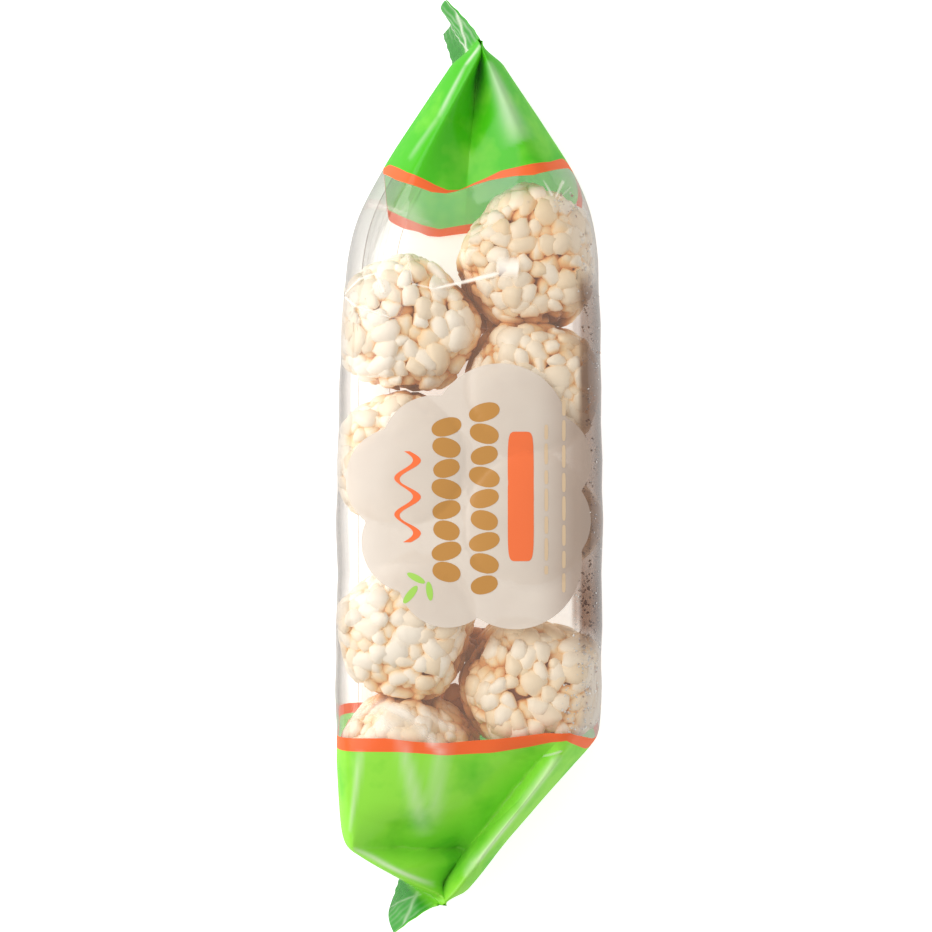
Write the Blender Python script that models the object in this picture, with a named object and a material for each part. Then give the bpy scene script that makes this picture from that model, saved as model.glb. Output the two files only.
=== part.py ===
"""A sealed film packet of puffed rice cakes, lying on its back.

The packet is one closed solid, a loft of closed cross-sections along its length (+Y).
In the middle a section is a rounded box round the cakes. Towards each end the front and
back panels fold inwards between two ridges, as a gusset does, until the film closes in
a crimped seal that stands across the packet's depth (Z) and curls to one side.
Units are metres. +Z is the packet's front, which faces up.
"""

import bpy
import numpy as np

# Body of the packet
DEPTH = 0.0400
HALF_WIDTH = 0.0312
MID_HEIGHT = DEPTH / 2
FRONT_REST = 0.0393      # front film between two cakes
BACK_REST = -0.0009      # back film before the floor flattens it
CORNER_SHARE = 0.87      # a section's corner, as a share of its half width
CORNER_INSET = 0.0042    # a corner, below the front or above the back
HALVES_BLEND = 0.020     # either side of the middle, where the two ends' sections blend

# Cakes inside: left and right column, (x, y, radius) of each, which press the film out
CAKES = (
    (-0.0153, 0.0339, 0.0161),
    (-0.0162, 0.0014, 0.0152),
    (-0.0148, -0.0384, 0.0160),
    (-0.0145, -0.0698, 0.0145),
    (0.0139, 0.0490, 0.0159),
    (0.0148, 0.0188, 0.0150),
    (0.0145, -0.0127, 0.0156),
    (0.0150, -0.0525, 0.0160),
)
CAKE_PRESS = 0.0013           # how far a cake lifts the front film
CAKE_PRESS_POWER = 0.7        # below 1: flat over the cake's middle, steep at its rim
CAKE_SIDE_PRESS = 0.0006      # how far a cake pushes a side out
CAKE_SIDE_FADE = 1.2          # in radii along the packet, where that push ends
PRESS_HEIGHTS = (0.80, 0.97)  # shares of the depth between which the front's lift sets in
PRESS_SIDE_FROM = 0.80        # share of the half width where the side push sets in

# The two folded ends. "reach" is the distance from the packet's middle towards that end.
# Each edge line closes in on the seal: (slope, reach where it meets x = 0, softness of its bend).
TOP = {
    "sign": 1.0,
    "fold_start": 0.040,
    "root": 0.0980,
    "closing": 0.0042,
    "left_side": (0.78, 0.1010, 0.0105),
    "right_side": (0.75, 0.1053, 0.0065),
    "left_ridge": (0.58, 0.0912, 0.0060),
    "right_ridge": (0.48, 0.1029, 0.0060),
    "ridge_front": 0.0390,
    "ridge_back": 0.0016,
    "tuck_start": 0.050,
    "tuck_depth": 0.0110,
    "tuck_power": 0.85,
    "valley_line": ((0.020, 0.0), (0.050, -0.0022), (0.098, 0.0024)),
    "root_front_x": 0.0025,
    "root_back_x": -0.0037,
    "cut_front_x": -0.0053,
    "cut_back_x": -0.0055,
    "cut": 0.1072,
    "cut_front_z": 0.0400,
    "cut_back_z": 0.0022,
    "wave": -0.0011,
    "waves": 1.15,
    "curl_power": 1.3,
}
BOTTOM = {
    "sign": -1.0,
    "fold_start": 0.058,
    "root": 0.1014,
    "closing": 0.0022,
    "left_side": (1.85, 0.1060, 0.0045),
    "right_side": (0.92, 0.0986, 0.0020),
    "left_ridge": (1.93, 0.1030, 0.0020),
    "right_ridge": (0.833, 0.0933, 0.0030),
    "ridge_front": 0.0390,
    "ridge_back": 0.0016,
    "tuck_start": 0.062,
    "tuck_depth": 0.0105,
    "tuck_power": 0.9,
    "valley_line": (
        (0.025, 0.0), (0.060, 0.0200), (0.0634, 0.0200), (0.0779, 0.0118),
        (0.0877, 0.0023), (0.0983, -0.0058), (0.1014, -0.0068),
    ),
    "root_front_x": -0.0058,
    "root_back_x": -0.0165,
    "cut_front_x": -0.0171,
    "cut_back_x": -0.0186,
    "cut": 0.1076,
    "cut_front_z": 0.0392,
    "cut_back_z": 0.0022,
    "wave": -0.0012,
    "waves": 0.5,
    "curl_power": 0.65,
}
SIDE_RISE = 0.0130       # how much higher the widest point of a section lies at the seal
SIDE_RISE_POWER = 3      # the higher, the later in the fold that rise comes
LEAN_POWER = 6           # the same for the back's lean towards its end of the seal's root
CLOSING_POWER = 1.7      # how the sides meet over "closing", the fold's last stretch
RIDGE_TANGENT = 0.35     # tangent length at a folded ridge; 1 is fully round
VALLEY_TANGENT = 0.12    # tangent length in a folded valley
VALLEY_SHARPENS = 3      # how many times faster than the tuck the valley gets sharp

# The crimped seals
SEAL_HALF = 0.0006       # half the thickness of the crimped seal
SEAL_EDGE = 0.03         # share of the seal's length that its rounded short edges take
SEAL_TURN = 0.25         # share of a section's points that go round a short edge
SEAL_BESIDE = (0.0, 1.5, 2.0, 1.5, 0.0, -1.5, -2.0, -1.5)  # anchors beside the seal, in half thicknesses

# Fold lines on the front of the bottom end, where the film dips in a V. Each is
# (x0, y0, x1, y1, drop, reach to the left of its direction, reach to its right,
#  shares of its length between which it deepens, shares between which it runs out).
FOLD_LINES = (
    (-0.0275, -0.0885, -0.0030, -0.0918, 0.0080, 0.0120, 0.0028, 0.02, 0.45, 1.00, 1.20),
    (-0.0058, -0.0983, 0.0205, -0.0632, 0.0060, 0.0110, 0.0025, -0.20, 0.10, 0.70, 1.02),
)
FOLD_LINE_POWER = 1.6    # above 1: the dip is steep at its line and runs out softly
FOLD_LINE_FRONT = 0.7    # share of the depth above which a dip is whole

# How finely the loft is cut
COLUMNS = 48
BODY_STEP = 0.0040
FOLD_STEP = 0.0018
SEAL_ROWS = 5


def smooth_min(a, b, soft):
    """The smaller of a and b, rounded over where they meet."""
    return 0.5 * (a + b - np.sqrt((a - b) ** 2 + soft ** 2))


def ramp(value, start, end):
    """0 before start, 1 after end, straight in between."""
    return np.clip((value - start) / (end - start), 0.0, 1.0)


def smooth_ramp(value, start, end):
    """0 before start, 1 after end, an S-curve in between."""
    t = ramp(value, start, end)
    return t * t * (3 - 2 * t)


def mix(a, b, t):
    return a + (b - a) * t


def edge_line(line, reach, widest):
    """Distance from x = 0 of a side or ridge: widest along the body, then straight in to the seal."""
    slope, meets, softness = line
    return smooth_min(widest, slope * (meets - reach), softness)


def fold_anchors(end, reach):
    """The eight anchor points of a section, (x, z), and how softly the outline turns at each.

    They run: front valley, front right ridge, right side, back right ridge, back valley,
    back left ridge, left side, front left ridge.
    """
    t = ramp(reach, end["fold_start"], end["root"])
    tuck = ramp(reach, end["tuck_start"], end["root"]) ** end["tuck_power"]
    closing = ramp(reach, end["root"] - end["closing"], end["root"]) ** CLOSING_POWER

    corner = HALF_WIDTH * CORNER_SHARE
    left = -edge_line(end["left_side"], reach, HALF_WIDTH)
    right = edge_line(end["right_side"], reach, HALF_WIDTH)
    left_ridge = -edge_line(end["left_ridge"], reach, corner)
    right_ridge = edge_line(end["right_ridge"], reach, corner)
    lean = (end["root_back_x"] - end["root_front_x"]) * t ** LEAN_POWER

    front_z = mix(DEPTH - CORNER_INSET, end["ridge_front"], t)
    back_z = mix(CORNER_INSET, end["ridge_back"], t)
    line_reach, line_x = zip(*end["valley_line"])
    valley_x = np.interp(reach, line_reach, line_x)
    valley_front = mix(FRONT_REST, front_z, t) - end["tuck_depth"] * tuck
    valley_back = mix(BACK_REST, back_z, t) + end["tuck_depth"] * tuck
    side_z = MID_HEIGHT + SIDE_RISE * t ** SIDE_RISE_POWER

    open_points = np.array([
        (valley_x, valley_front),
        (right_ridge, front_z),
        (right, side_z),
        (right_ridge + lean, back_z),
        (valley_x + lean, valley_back),
        (left_ridge + lean, back_z),
        (left, side_z),
        (left_ridge, front_z),
    ])
    seal_z = (end["ridge_back"], end["ridge_front"])
    seal_x = (end["root_back_x"], end["root_front_x"])
    shut_x = np.interp(open_points[:, 1], seal_z, seal_x) + SEAL_HALF * np.array(SEAL_BESIDE)
    shut_points = np.stack([shut_x, open_points[:, 1]], 1)
    soft_ridge = mix(1.0, RIDGE_TANGENT, t)
    soft_valley = mix(1.0, VALLEY_TANGENT, min(1.0, VALLEY_SHARPENS * tuck))
    soft = np.array([soft_valley, soft_ridge, 1.0, soft_ridge] * 2)
    return mix(open_points, shut_points, closing), soft


def closed_outline(anchors, soft):
    """COLUMNS points round a section: a cubic through the anchors, straighter where soft is small."""
    count = len(anchors)
    per_side = COLUMNS // count
    chord = np.linalg.norm(np.roll(anchors, -1, 0) - anchors, axis=1)
    through = np.roll(anchors, -1, 0) - np.roll(anchors, 1, 0)
    length = np.minimum(chord, np.roll(chord, 1)) * soft / np.linalg.norm(through, axis=1)
    tangents = through * length[:, None]
    s = (np.arange(per_side) / per_side)[None, :, None]
    start, end = anchors[:, None, :], np.roll(anchors, -1, 0)[:, None, :]
    leave, arrive = tangents[:, None, :], np.roll(tangents, -1, 0)[:, None, :]
    curve = (
        (2 * s ** 3 - 3 * s ** 2 + 1) * start
        + (s ** 3 - 2 * s ** 2 + s) * leave
        + (3 * s ** 2 - 2 * s ** 3) * end
        + (s ** 3 - s ** 2) * arrive
    )
    return curve.reshape(-1, 2)


def seal_outline(end, share):
    """COLUMNS points round the seal, share of the way from its root to its cut edge.

    The tucked panels of the section end at the seal's two short edges, so their columns
    bunch up there, and the side panels' columns run along its length.
    """
    turn = np.arange(COLUMNS) / COLUMNS
    across = 1 - np.abs(1 - 2 * turn)        # 0 at the front edge, 1 at the back edge
    down = np.interp(across, (0.0, SEAL_TURN, 1 - SEAL_TURN, 1.0), (0.0, SEAL_EDGE, 1 - SEAL_EDGE, 1.0))
    roundness = np.minimum(1.0, np.minimum(across, 1 - across) / SEAL_TURN)
    side = np.where(turn < 0.5, 1.0, -1.0) * roundness
    root_x = mix(end["root_front_x"], end["root_back_x"], down)
    cut_x = mix(end["cut_front_x"], end["cut_back_x"], down)
    wave = end["wave"] * share * np.sin(2 * np.pi * end["waves"] * down)
    x = mix(root_x, cut_x, share ** end["curl_power"]) + wave + side * SEAL_HALF
    front = mix(end["ridge_front"], end["cut_front_z"], share)
    back = mix(end["ridge_back"], end["cut_back_z"], share)
    return np.stack([x, mix(front, back, down)], 1)


def press_of_cakes(points, y):
    """The film's lift where a cake lies behind it, on the front and a little on the sides."""
    x, z = points[:, 0], points[:, 1]
    lift = np.zeros(len(points))
    for cake_x, cake_y, radius in CAKES:
        distance = ((x - cake_x) ** 2 + (y - cake_y) ** 2) / radius ** 2
        lift = np.maximum(lift, np.clip(1 - distance, 0, 1) ** CAKE_PRESS_POWER)
    low, high = PRESS_HEIGHTS
    front = ramp(z, DEPTH * low, DEPTH * high)
    nearest = min(abs(y - cake_y) / radius for _, cake_y, radius in CAKES)
    outer = ramp(np.abs(x), HALF_WIDTH * PRESS_SIDE_FROM, HALF_WIDTH)
    beside = (1 - ramp(nearest, 0.0, CAKE_SIDE_FADE)) * outer
    pressed = points.copy()
    pressed[:, 1] += CAKE_PRESS * lift * front
    pressed[:, 0] += CAKE_SIDE_PRESS * beside * np.sign(x)
    return pressed


def fold_lines(points, y):
    """The V-shaped dips along FOLD_LINES, on the front only."""
    front = ramp(points[:, 1], MID_HEIGHT, DEPTH * FOLD_LINE_FRONT)
    folded = points.copy()
    for x0, y0, x1, y1, drop, left, right, *shares in FOLD_LINES:
        run, rise = x1 - x0, y1 - y0
        length = np.hypot(run, rise)
        along = ((points[:, 0] - x0) * run + (y - y0) * rise) / length ** 2
        beside = ((y - y0) * run - (points[:, 0] - x0) * rise) / length
        width = np.where(beside > 0, left, right)
        dip = np.clip(1 - np.abs(beside) / width, 0, 1) ** FOLD_LINE_POWER
        share = ramp(along, *shares[:2]) * (1 - ramp(along, *shares[2:]))
        folded[:, 1] -= drop * dip * share * front
    return folded


def fold_rows(end):
    """Rows of one end, from where the fold starts to the seal's cut edge."""
    steps = int(round((end["root"] - end["fold_start"]) / FOLD_STEP))
    rows = []
    for reach in np.linspace(end["fold_start"], end["root"], steps + 1):
        outline = closed_outline(*fold_anchors(end, reach))
        y = end["sign"] * reach
        rows.append((y, fold_lines(press_of_cakes(outline, y), y)))
    for i in range(1, SEAL_ROWS + 1):
        share = i / SEAL_ROWS
        y = end["sign"] * mix(end["root"], end["cut"], share)
        rows.append((y, seal_outline(end, share)))
    return rows


def body_rows():
    """Rows of the part between the two folds, blended from one end's section to the other's."""
    low, high = -BOTTOM["fold_start"], TOP["fold_start"]
    steps = int(round((high - low) / BODY_STEP))
    rows = []
    for y in np.linspace(low, high, steps + 1)[1:-1]:
        towards_top = closed_outline(*fold_anchors(TOP, max(y, 0.0)))
        towards_bottom = closed_outline(*fold_anchors(BOTTOM, max(-y, 0.0)))
        outline = mix(towards_bottom, towards_top, smooth_ramp(y, -HALVES_BLEND, HALVES_BLEND))
        rows.append((y, press_of_cakes(outline, y)))
    return rows


def loft(rows):
    """A closed mesh through all rows, centred in X and Y, its underside flat on the floor.

    Each end is shut by pairing its front and back halves.
    """
    points = np.zeros((len(rows), COLUMNS, 3))
    for i, (y, outline) in enumerate(rows):
        points[i, :, 0] = outline[:, 0]
        points[i, :, 1] = y
        points[i, :, 2] = np.maximum(outline[:, 1], 0.0)
    faces = []
    for i in range(len(rows) - 1):
        for j in range(COLUMNS):
            k = (j + 1) % COLUMNS
            a, b = i * COLUMNS, (i + 1) * COLUMNS
            faces.append((a + k, b + k, b + j, a + j))
    for first, turned in ((0, False), ((len(rows) - 1) * COLUMNS, True)):
        for j in range(COLUMNS // 2):
            opposite = (COLUMNS - j) % COLUMNS
            before_opposite = COLUMNS - j - 1
            ring = [first + j, first + j + 1, first + before_opposite, first + opposite]
            ring = list(dict.fromkeys(ring))
            faces.append(tuple(ring) if turned else tuple(reversed(ring)))
    points = points.reshape(-1, 3)
    middle = (points.min(0) + points.max(0)) / 2
    points[:, :2] -= middle[:2]
    return points, faces


def printed_film():
    """Clear glossy film over cream-coloured cakes, as one even finish."""
    material = bpy.data.materials.new("printed film")
    material.use_nodes = True
    shader = material.node_tree.nodes["Principled BSDF"]
    shader.inputs["Base Color"].default_value = (0.78, 0.72, 0.62, 1.0)
    shader.inputs["Roughness"].default_value = 0.18
    shader.inputs["Metallic"].default_value = 0.0
    return material


def make_packet():
    """The packet's solid, in a collection named for the object."""
    rows = list(reversed(fold_rows(BOTTOM))) + body_rows() + fold_rows(TOP)
    points, faces = loft(rows)
    mesh = bpy.data.meshes.new("film_packet")
    mesh.from_pydata(points.tolist(), [], faces)
    mesh.validate()
    mesh.materials.append(printed_film())
    mesh.shade_smooth()
    packet = bpy.data.objects.new("film_packet", mesh)
    parts = bpy.data.collections.new("packet of puffed rice cakes")
    bpy.context.scene.collection.children.link(parts)
    parts.objects.link(packet)
    low, high = points.min(0) * 1000, points.max(0) * 1000
    print("packet from", low.round(1), "to", high.round(1), "mm,", len(faces), "faces")


def clear_scene():
    for thing in list(bpy.data.objects):
        bpy.data.objects.remove(thing)


if __name__ == "__main__":
    clear_scene()
    make_packet()
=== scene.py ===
# %% [markdown]
# # A packet of puffed rice cakes
#
# The real thing is a small flow-wrap packet: one sheet of thin clear film, printed green at both
# ends, pulled round eight rolls of puffed rice and crimped shut. We build what the eye sees:
# the film with its folds and print, the rice cakes inside it, and the sugar that came off them.
# The solid that carries this packet is loaded first, and gives us the frame to build in.

import bpy
import numpy as np
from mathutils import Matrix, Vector


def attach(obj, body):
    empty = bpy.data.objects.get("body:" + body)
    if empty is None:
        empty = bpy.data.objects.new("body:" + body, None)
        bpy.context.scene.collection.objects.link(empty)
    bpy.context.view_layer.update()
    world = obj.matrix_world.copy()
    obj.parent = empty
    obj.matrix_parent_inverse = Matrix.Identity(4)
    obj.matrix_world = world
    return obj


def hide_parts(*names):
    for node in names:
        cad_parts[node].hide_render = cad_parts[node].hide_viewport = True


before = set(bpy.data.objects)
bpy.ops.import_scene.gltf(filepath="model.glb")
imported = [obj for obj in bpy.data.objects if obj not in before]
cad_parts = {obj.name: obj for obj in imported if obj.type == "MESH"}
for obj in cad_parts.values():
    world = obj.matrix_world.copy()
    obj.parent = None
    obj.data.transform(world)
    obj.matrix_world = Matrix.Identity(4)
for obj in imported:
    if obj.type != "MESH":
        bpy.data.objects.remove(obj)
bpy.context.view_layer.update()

# %% [markdown]
# ## Small helpers
#
# Colours are easiest to pick as hex values on a screen, but Blender mixes light in linear numbers,
# so one function turns the first into the second. A second one adds a shader node, sets it up and
# plugs it in. A third makes a mesh out of whole arrays of points and faces, which is far quicker
# than adding them one by one.

# %% Colours, nodes and meshes
MM = 0.001


def linear(hex_colour):
    """The linear RGBA of an sRGB hex colour: each channel over 255, then the sRGB curve undone."""
    text = hex_colour.lstrip("#")
    srgb = np.array([int(text[i:i + 2], 16) for i in (0, 2, 4)]) / 255
    straight = srgb / 12.92
    curved = ((srgb + 0.055) / 1.055) ** 2.4
    return (*np.where(srgb <= 0.04045, straight, curved).tolist(), 1.0)


def add_node(tree, kind, settings=None, values=None, links=None):
    """A node of this kind: its own settings, its sockets' values, and the links that feed them."""
    made = tree.nodes.new(kind)
    for name, value in (settings or {}).items():
        setattr(made, name, value)
    for socket, value in (values or {}).items():
        made.inputs[socket].default_value = value
    for socket, source in (links or {}).items():
        tree.links.new(source, made.inputs[socket])
    return made


def new_material(name):
    """An empty node material and its output node."""
    material = bpy.data.materials.new(name)
    material.use_nodes = True
    tree = material.node_tree
    tree.nodes.clear()
    output = tree.nodes.new("ShaderNodeOutputMaterial")
    return material, tree, output


def ramp(value, start, end):
    """0 before start, 1 after end, straight in between."""
    return np.clip((value - start) / (end - start), 0.0, 1.0)


def smooth(t):
    """An S-curve: 3t squared minus 2t cubed."""
    return t * t * (3 - 2 * t)


def mix(a, b, t):
    """The value a share t of the way from a to b."""
    return a + (b - a) * t


def make_piece(name, points, faces, material, attributes=None):
    """A mesh from points (n, 3) and a list of face arrays, one array for each number of corners."""
    mesh = bpy.data.meshes.new(name)
    corners = np.concatenate([f.ravel() for f in faces])
    sizes = np.concatenate([np.full(len(f), f.shape[1]) for f in faces])
    starts = np.concatenate([[0], np.cumsum(sizes)[:-1]])
    mesh.vertices.add(len(points))
    mesh.vertices.foreach_set("co", points.astype(np.float32).ravel())
    mesh.loops.add(len(corners))
    mesh.loops.foreach_set("vertex_index", corners.astype(np.int32))
    mesh.polygons.add(len(sizes))
    mesh.polygons.foreach_set("loop_start", starts.astype(np.int32))
    mesh.update(calc_edges=True)
    mesh.validate()
    for label, values in (attributes or {}).items():
        layer = mesh.attributes.new(label, "FLOAT", "POINT")
        layer.data.foreach_set("value", values.astype(np.float32).ravel())
    mesh.shade_smooth()
    mesh.materials.append(material)
    piece = bpy.data.objects.new(name, mesh)
    bpy.context.scene.collection.objects.link(piece)
    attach(piece, "root")
    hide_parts("film_packet")
    triangles = int((sizes - 2).sum())
    print(name, "has", triangles, "triangles")
    return piece


# %% [markdown]
# ## The shape of the film
#
# A flow-wrap packet is a tube of film. Round the cakes its section is a soft box; towards an end
# the front and the back fold inwards between two ridges, until the film meets in a crimped seal
# that stands on edge and curls over. We could push a box about by hand, but the folds are easier
# to steer as a loft: eight anchor points for each section, a cubic curve through them, and every
# anchor a simple function of how far along the packet the section lies.

# %% Measures of the packet
# In metres, but for shares and powers
DEPTH = 0.0400
HALF_WIDTH = 0.0312
MID_HEIGHT = DEPTH / 2
FRONT_REST = 0.0393
BACK_REST = -0.0009
CORNER_SHARE = 0.87
CORNER_INSET = 0.0042
LEAN_POWER = 6
SIDE_RISE = 0.0130
SEAL_HALF = 0.00035
SEAL_EDGE = 0.03
RIB_PITCH = 2.1 * MM
RIB_HEIGHT = 0.10 * MM

# Each cake: (x, y, radius it presses the film with, its own radius, half height,
#             tilt about X and about Y in degrees, seed)
CAKES = (
    (-0.0153, 0.0339, 0.0161, 0.0161, 0.0176, 6.0, 5.0, 3),
    (-0.0162, 0.0014, 0.0152, 0.0154, 0.0174, -5.0, 3.0, 8),
    (-0.0148, -0.0384, 0.0160, 0.0160, 0.0175, 4.0, -4.0, 15),
    (-0.0145, -0.0698, 0.0145, 0.0158, 0.0155, 9.0, -6.0, 21),
    (0.0139, 0.0490, 0.0159, 0.0159, 0.0172, -6.0, 4.0, 32),
    (0.0148, 0.0188, 0.0150, 0.0158, 0.0172, 7.0, 4.0, 41),
    (0.0145, -0.0127, 0.0156, 0.0156, 0.0176, -3.0, -5.0, 50),
    (0.0150, -0.0525, 0.0160, 0.0160, 0.0172, -2.0, 8.0, 64),
)
CAKE_PRESS = 0.0013
CAKE_SIDE_PRESS = 0.0006

# Each end: a side or ridge is (slope, reach at which it meets the middle, softness of its bend),
# and valley_line gives the x of the valley at several reaches from the packet's middle
TOP = {
    "sign": 1.0,
    "fold_start": 0.040,
    "root": 0.0980,
    "closing": 0.0042,
    "left_side": (0.78, 0.1010, 0.0105),
    "right_side": (0.75, 0.1053, 0.0065),
    "left_ridge": (0.58, 0.0912, 0.0060),
    "right_ridge": (0.48, 0.1029, 0.0060),
    "ridge_front": 0.0390,
    "ridge_back": 0.0016,
    "tuck_start": 0.050,
    "tuck_depth": 0.0110,
    "tuck_power": 0.85,
    "valley_line": ((0.020, 0.0), (0.050, -0.0022), (0.098, 0.0024)),
    "root_front_x": 0.0025,
    "root_back_x": -0.0037,
    "cut_front_x": -0.0053,
    "cut_back_x": -0.0055,
    "cut": 0.1072,
    "cut_front_z": 0.0400,
    "cut_back_z": 0.0022,
    "wave": -0.0011,
    "waves": 1.15,
    "curl_power": 1.3,
}
BOTTOM = {
    "sign": -1.0,
    "fold_start": 0.058,
    "root": 0.1014,
    "closing": 0.0022,
    "left_side": (1.85, 0.1060, 0.0045),
    "right_side": (0.92, 0.0986, 0.0020),
    "left_ridge": (1.93, 0.1030, 0.0020),
    "right_ridge": (0.833, 0.0933, 0.0030),
    "ridge_front": 0.0390,
    "ridge_back": 0.0016,
    "tuck_start": 0.062,
    "tuck_depth": 0.0105,
    "tuck_power": 0.9,
    "valley_line": (
        (0.025, 0.0), (0.060, 0.0200), (0.0634, 0.0200), (0.0779, 0.0118), (0.0877, 0.0023),
        (0.0983, -0.0058), (0.1014, -0.0068),
    ),
    "root_front_x": -0.0058,
    "root_back_x": -0.0165,
    "cut_front_x": -0.0171,
    "cut_back_x": -0.0186,
    "cut": 0.1076,
    "cut_front_z": 0.0392,
    "cut_back_z": 0.0022,
    "wave": -0.0012,
    "waves": 0.5,
    "curl_power": 0.65,
}
COLUMNS = 256
print("packet", 2 * HALF_WIDTH / MM, "mm wide and", DEPTH / MM, "mm deep, with", len(CAKES), "cakes")

# %% Sections of the tube


def edge_line(line, reach, widest):
    """Distance of a side or ridge from the middle: the smaller of its widest and a straight line, rounded."""
    slope, meets, softness = line
    straight = slope * (meets - reach)
    return 0.5 * (widest + straight - np.sqrt((widest - straight) ** 2 + softness ** 2))


def section_anchors(end, reach):
    """Anchor points (rows, 8, 2) in X and Z, and how softly the outline turns at each (rows, 8)."""
    t = ramp(reach, end["fold_start"], end["root"])
    tuck = ramp(reach, end["tuck_start"], end["root"]) ** end["tuck_power"]
    closing = ramp(reach, end["root"] - end["closing"], end["root"]) ** 1.7
    corner = HALF_WIDTH * CORNER_SHARE
    left = -edge_line(end["left_side"], reach, HALF_WIDTH)
    right = edge_line(end["right_side"], reach, HALF_WIDTH)
    left_ridge = -edge_line(end["left_ridge"], reach, corner)
    right_ridge = edge_line(end["right_ridge"], reach, corner)
    lean = (end["root_back_x"] - end["root_front_x"]) * t ** LEAN_POWER
    front = mix(DEPTH - CORNER_INSET, end["ridge_front"], t)
    back = mix(CORNER_INSET, end["ridge_back"], t)
    line_reach, line_x = zip(*end["valley_line"])
    valley_x = np.interp(reach, line_reach, line_x)
    valley_front = mix(FRONT_REST, front, t) - end["tuck_depth"] * tuck
    valley_back = mix(BACK_REST, back, t) + end["tuck_depth"] * tuck
    side = MID_HEIGHT + SIDE_RISE * t ** 3
    open_x = [
        valley_x, right_ridge, right, right_ridge + lean,
        valley_x + lean, left_ridge + lean, left, left_ridge,
    ]
    all_z = np.stack([valley_front, front, side, back, valley_back, back, side, front], 1)
    along_seal = (end["ridge_back"], end["ridge_front"])
    shut_x = np.interp(all_z, along_seal, (end["root_back_x"], end["root_front_x"]))
    shut_x = shut_x + SEAL_HALF * np.array([0.0, 1.5, 2.0, 1.5, 0.0, -1.5, -2.0, -1.5])
    x = mix(np.stack(open_x, 1), shut_x, closing[:, None])
    soft_ridge = mix(1.0, 0.35, t)
    soft_valley = mix(1.0, 0.12, np.minimum(1.0, 3 * tuck))
    one = np.ones_like(t)
    soft = np.stack([soft_valley, soft_ridge, one, soft_ridge] * 2, 1)
    return np.stack([x, all_z], 2), soft


def closed_outlines(anchors, soft):
    """Points (rows, COLUMNS, 2): a cubic from anchor to anchor, its tangents within the shorter chord."""
    following = np.roll(anchors, -1, 1)
    chord = np.linalg.norm(following - anchors, axis=2)
    through = following - np.roll(anchors, 1, 1)
    length = np.minimum(chord, np.roll(chord, 1, 1)) * soft / np.linalg.norm(through, axis=2)
    tangents = through * length[..., None]
    per_side = COLUMNS // anchors.shape[1]
    s = (np.arange(per_side) / per_side)[None, None, :, None]
    curve = (2 * s ** 3 - 3 * s ** 2 + 1) * anchors[:, :, None]
    curve = curve + (s ** 3 - 2 * s ** 2 + s) * tangents[:, :, None]
    curve = curve + (3 * s ** 2 - 2 * s ** 3) * following[:, :, None]
    curve = curve + (s ** 3 - s ** 2) * np.roll(tangents, -1, 1)[:, :, None]
    return curve.reshape(len(anchors), COLUMNS, 2)


def seal_outlines(end, share):
    """Points (rows, COLUMNS, 2) of the seal: a flat loop across the depth, curled and ribbed."""
    share = share[:, None]
    turn = np.arange(COLUMNS) / COLUMNS
    across = 1 - np.abs(1 - 2 * turn)
    down = np.interp(across, (0.0, 0.25, 0.75, 1.0), (0.0, SEAL_EDGE, 1 - SEAL_EDGE, 1.0))
    side = np.where(turn < 0.5, 1.0, -1.0) * np.minimum(1.0, np.minimum(across, 1 - across) / 0.25)
    root_x = mix(end["root_front_x"], end["root_back_x"], down)
    cut_x = mix(end["cut_front_x"], end["cut_back_x"], down)
    wave = end["wave"] * share * np.sin(2 * np.pi * end["waves"] * down)
    width = end["cut"] - end["root"]
    ribs = RIB_HEIGHT * np.sin(2 * np.pi * share * width / RIB_PITCH) * ramp(share, 0.0, 0.25)
    x = mix(root_x, cut_x, share ** end["curl_power"]) + wave + ribs + side * SEAL_HALF
    front = mix(end["ridge_front"], end["cut_front_z"], share)
    back = mix(end["ridge_back"], end["cut_back_z"], share)
    return np.stack([x, mix(front, back, down)], 2)


# %% [markdown]
# ## Cakes press the film out, and the end is folded over
#
# Two things act on the plain tube. Each cake lifts the film over it, most over its middle; and the
# lower end dips along two lines, one beside a small flap and one beside a tube of rolled film. Both
# are written as functions of a point's place, so they work on any grid.

# %% Press and fold lines
# (x0, y0, x1, y1, drop, how far it reaches to the left of its direction, and to the right,
#  the shares of its length between which it deepens, and those between which it runs out)
FOLD_LINES = (
    (-0.0275, -0.0885, -0.0030, -0.0918, 0.0080, 0.0120, 0.0028, 0.02, 0.45, 1.0, 1.2),
    (-0.0058, -0.0983, 0.0205, -0.0632, 0.0060, 0.0110, 0.0025, -0.2, 0.10, 0.70, 1.02),
)
PRESS_POWER = 0.7
FOLD_POWER = 1.6
print(len(CAKES), "cakes press the film and", len(FOLD_LINES), "lines fold its lower end")


def pressed(points):
    """Lift in Z over each cake: one minus squared distance over squared radius, to PRESS_POWER."""
    x, y, z = points[..., 0], points[..., 1], points[..., 2]
    lift = np.zeros_like(x)
    nearest = np.full_like(x, 9.0)
    for cake_x, cake_y, radius, *_ in CAKES:
        apart = ((x - cake_x) ** 2 + (y - cake_y) ** 2) / radius ** 2
        lift = np.maximum(lift, np.clip(1 - apart, 0, 1) ** PRESS_POWER)
        nearest = np.minimum(nearest, np.abs(y - cake_y) / radius)
    front = ramp(z, DEPTH * 0.8, DEPTH * 0.97)
    beside = (1 - ramp(nearest, 0.0, 1.2)) * ramp(np.abs(x), HALF_WIDTH * 0.8, HALF_WIDTH)
    out = points.copy()
    out[..., 2] += CAKE_PRESS * lift * front
    out[..., 0] += CAKE_SIDE_PRESS * beside * np.sign(x)
    return out


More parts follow.
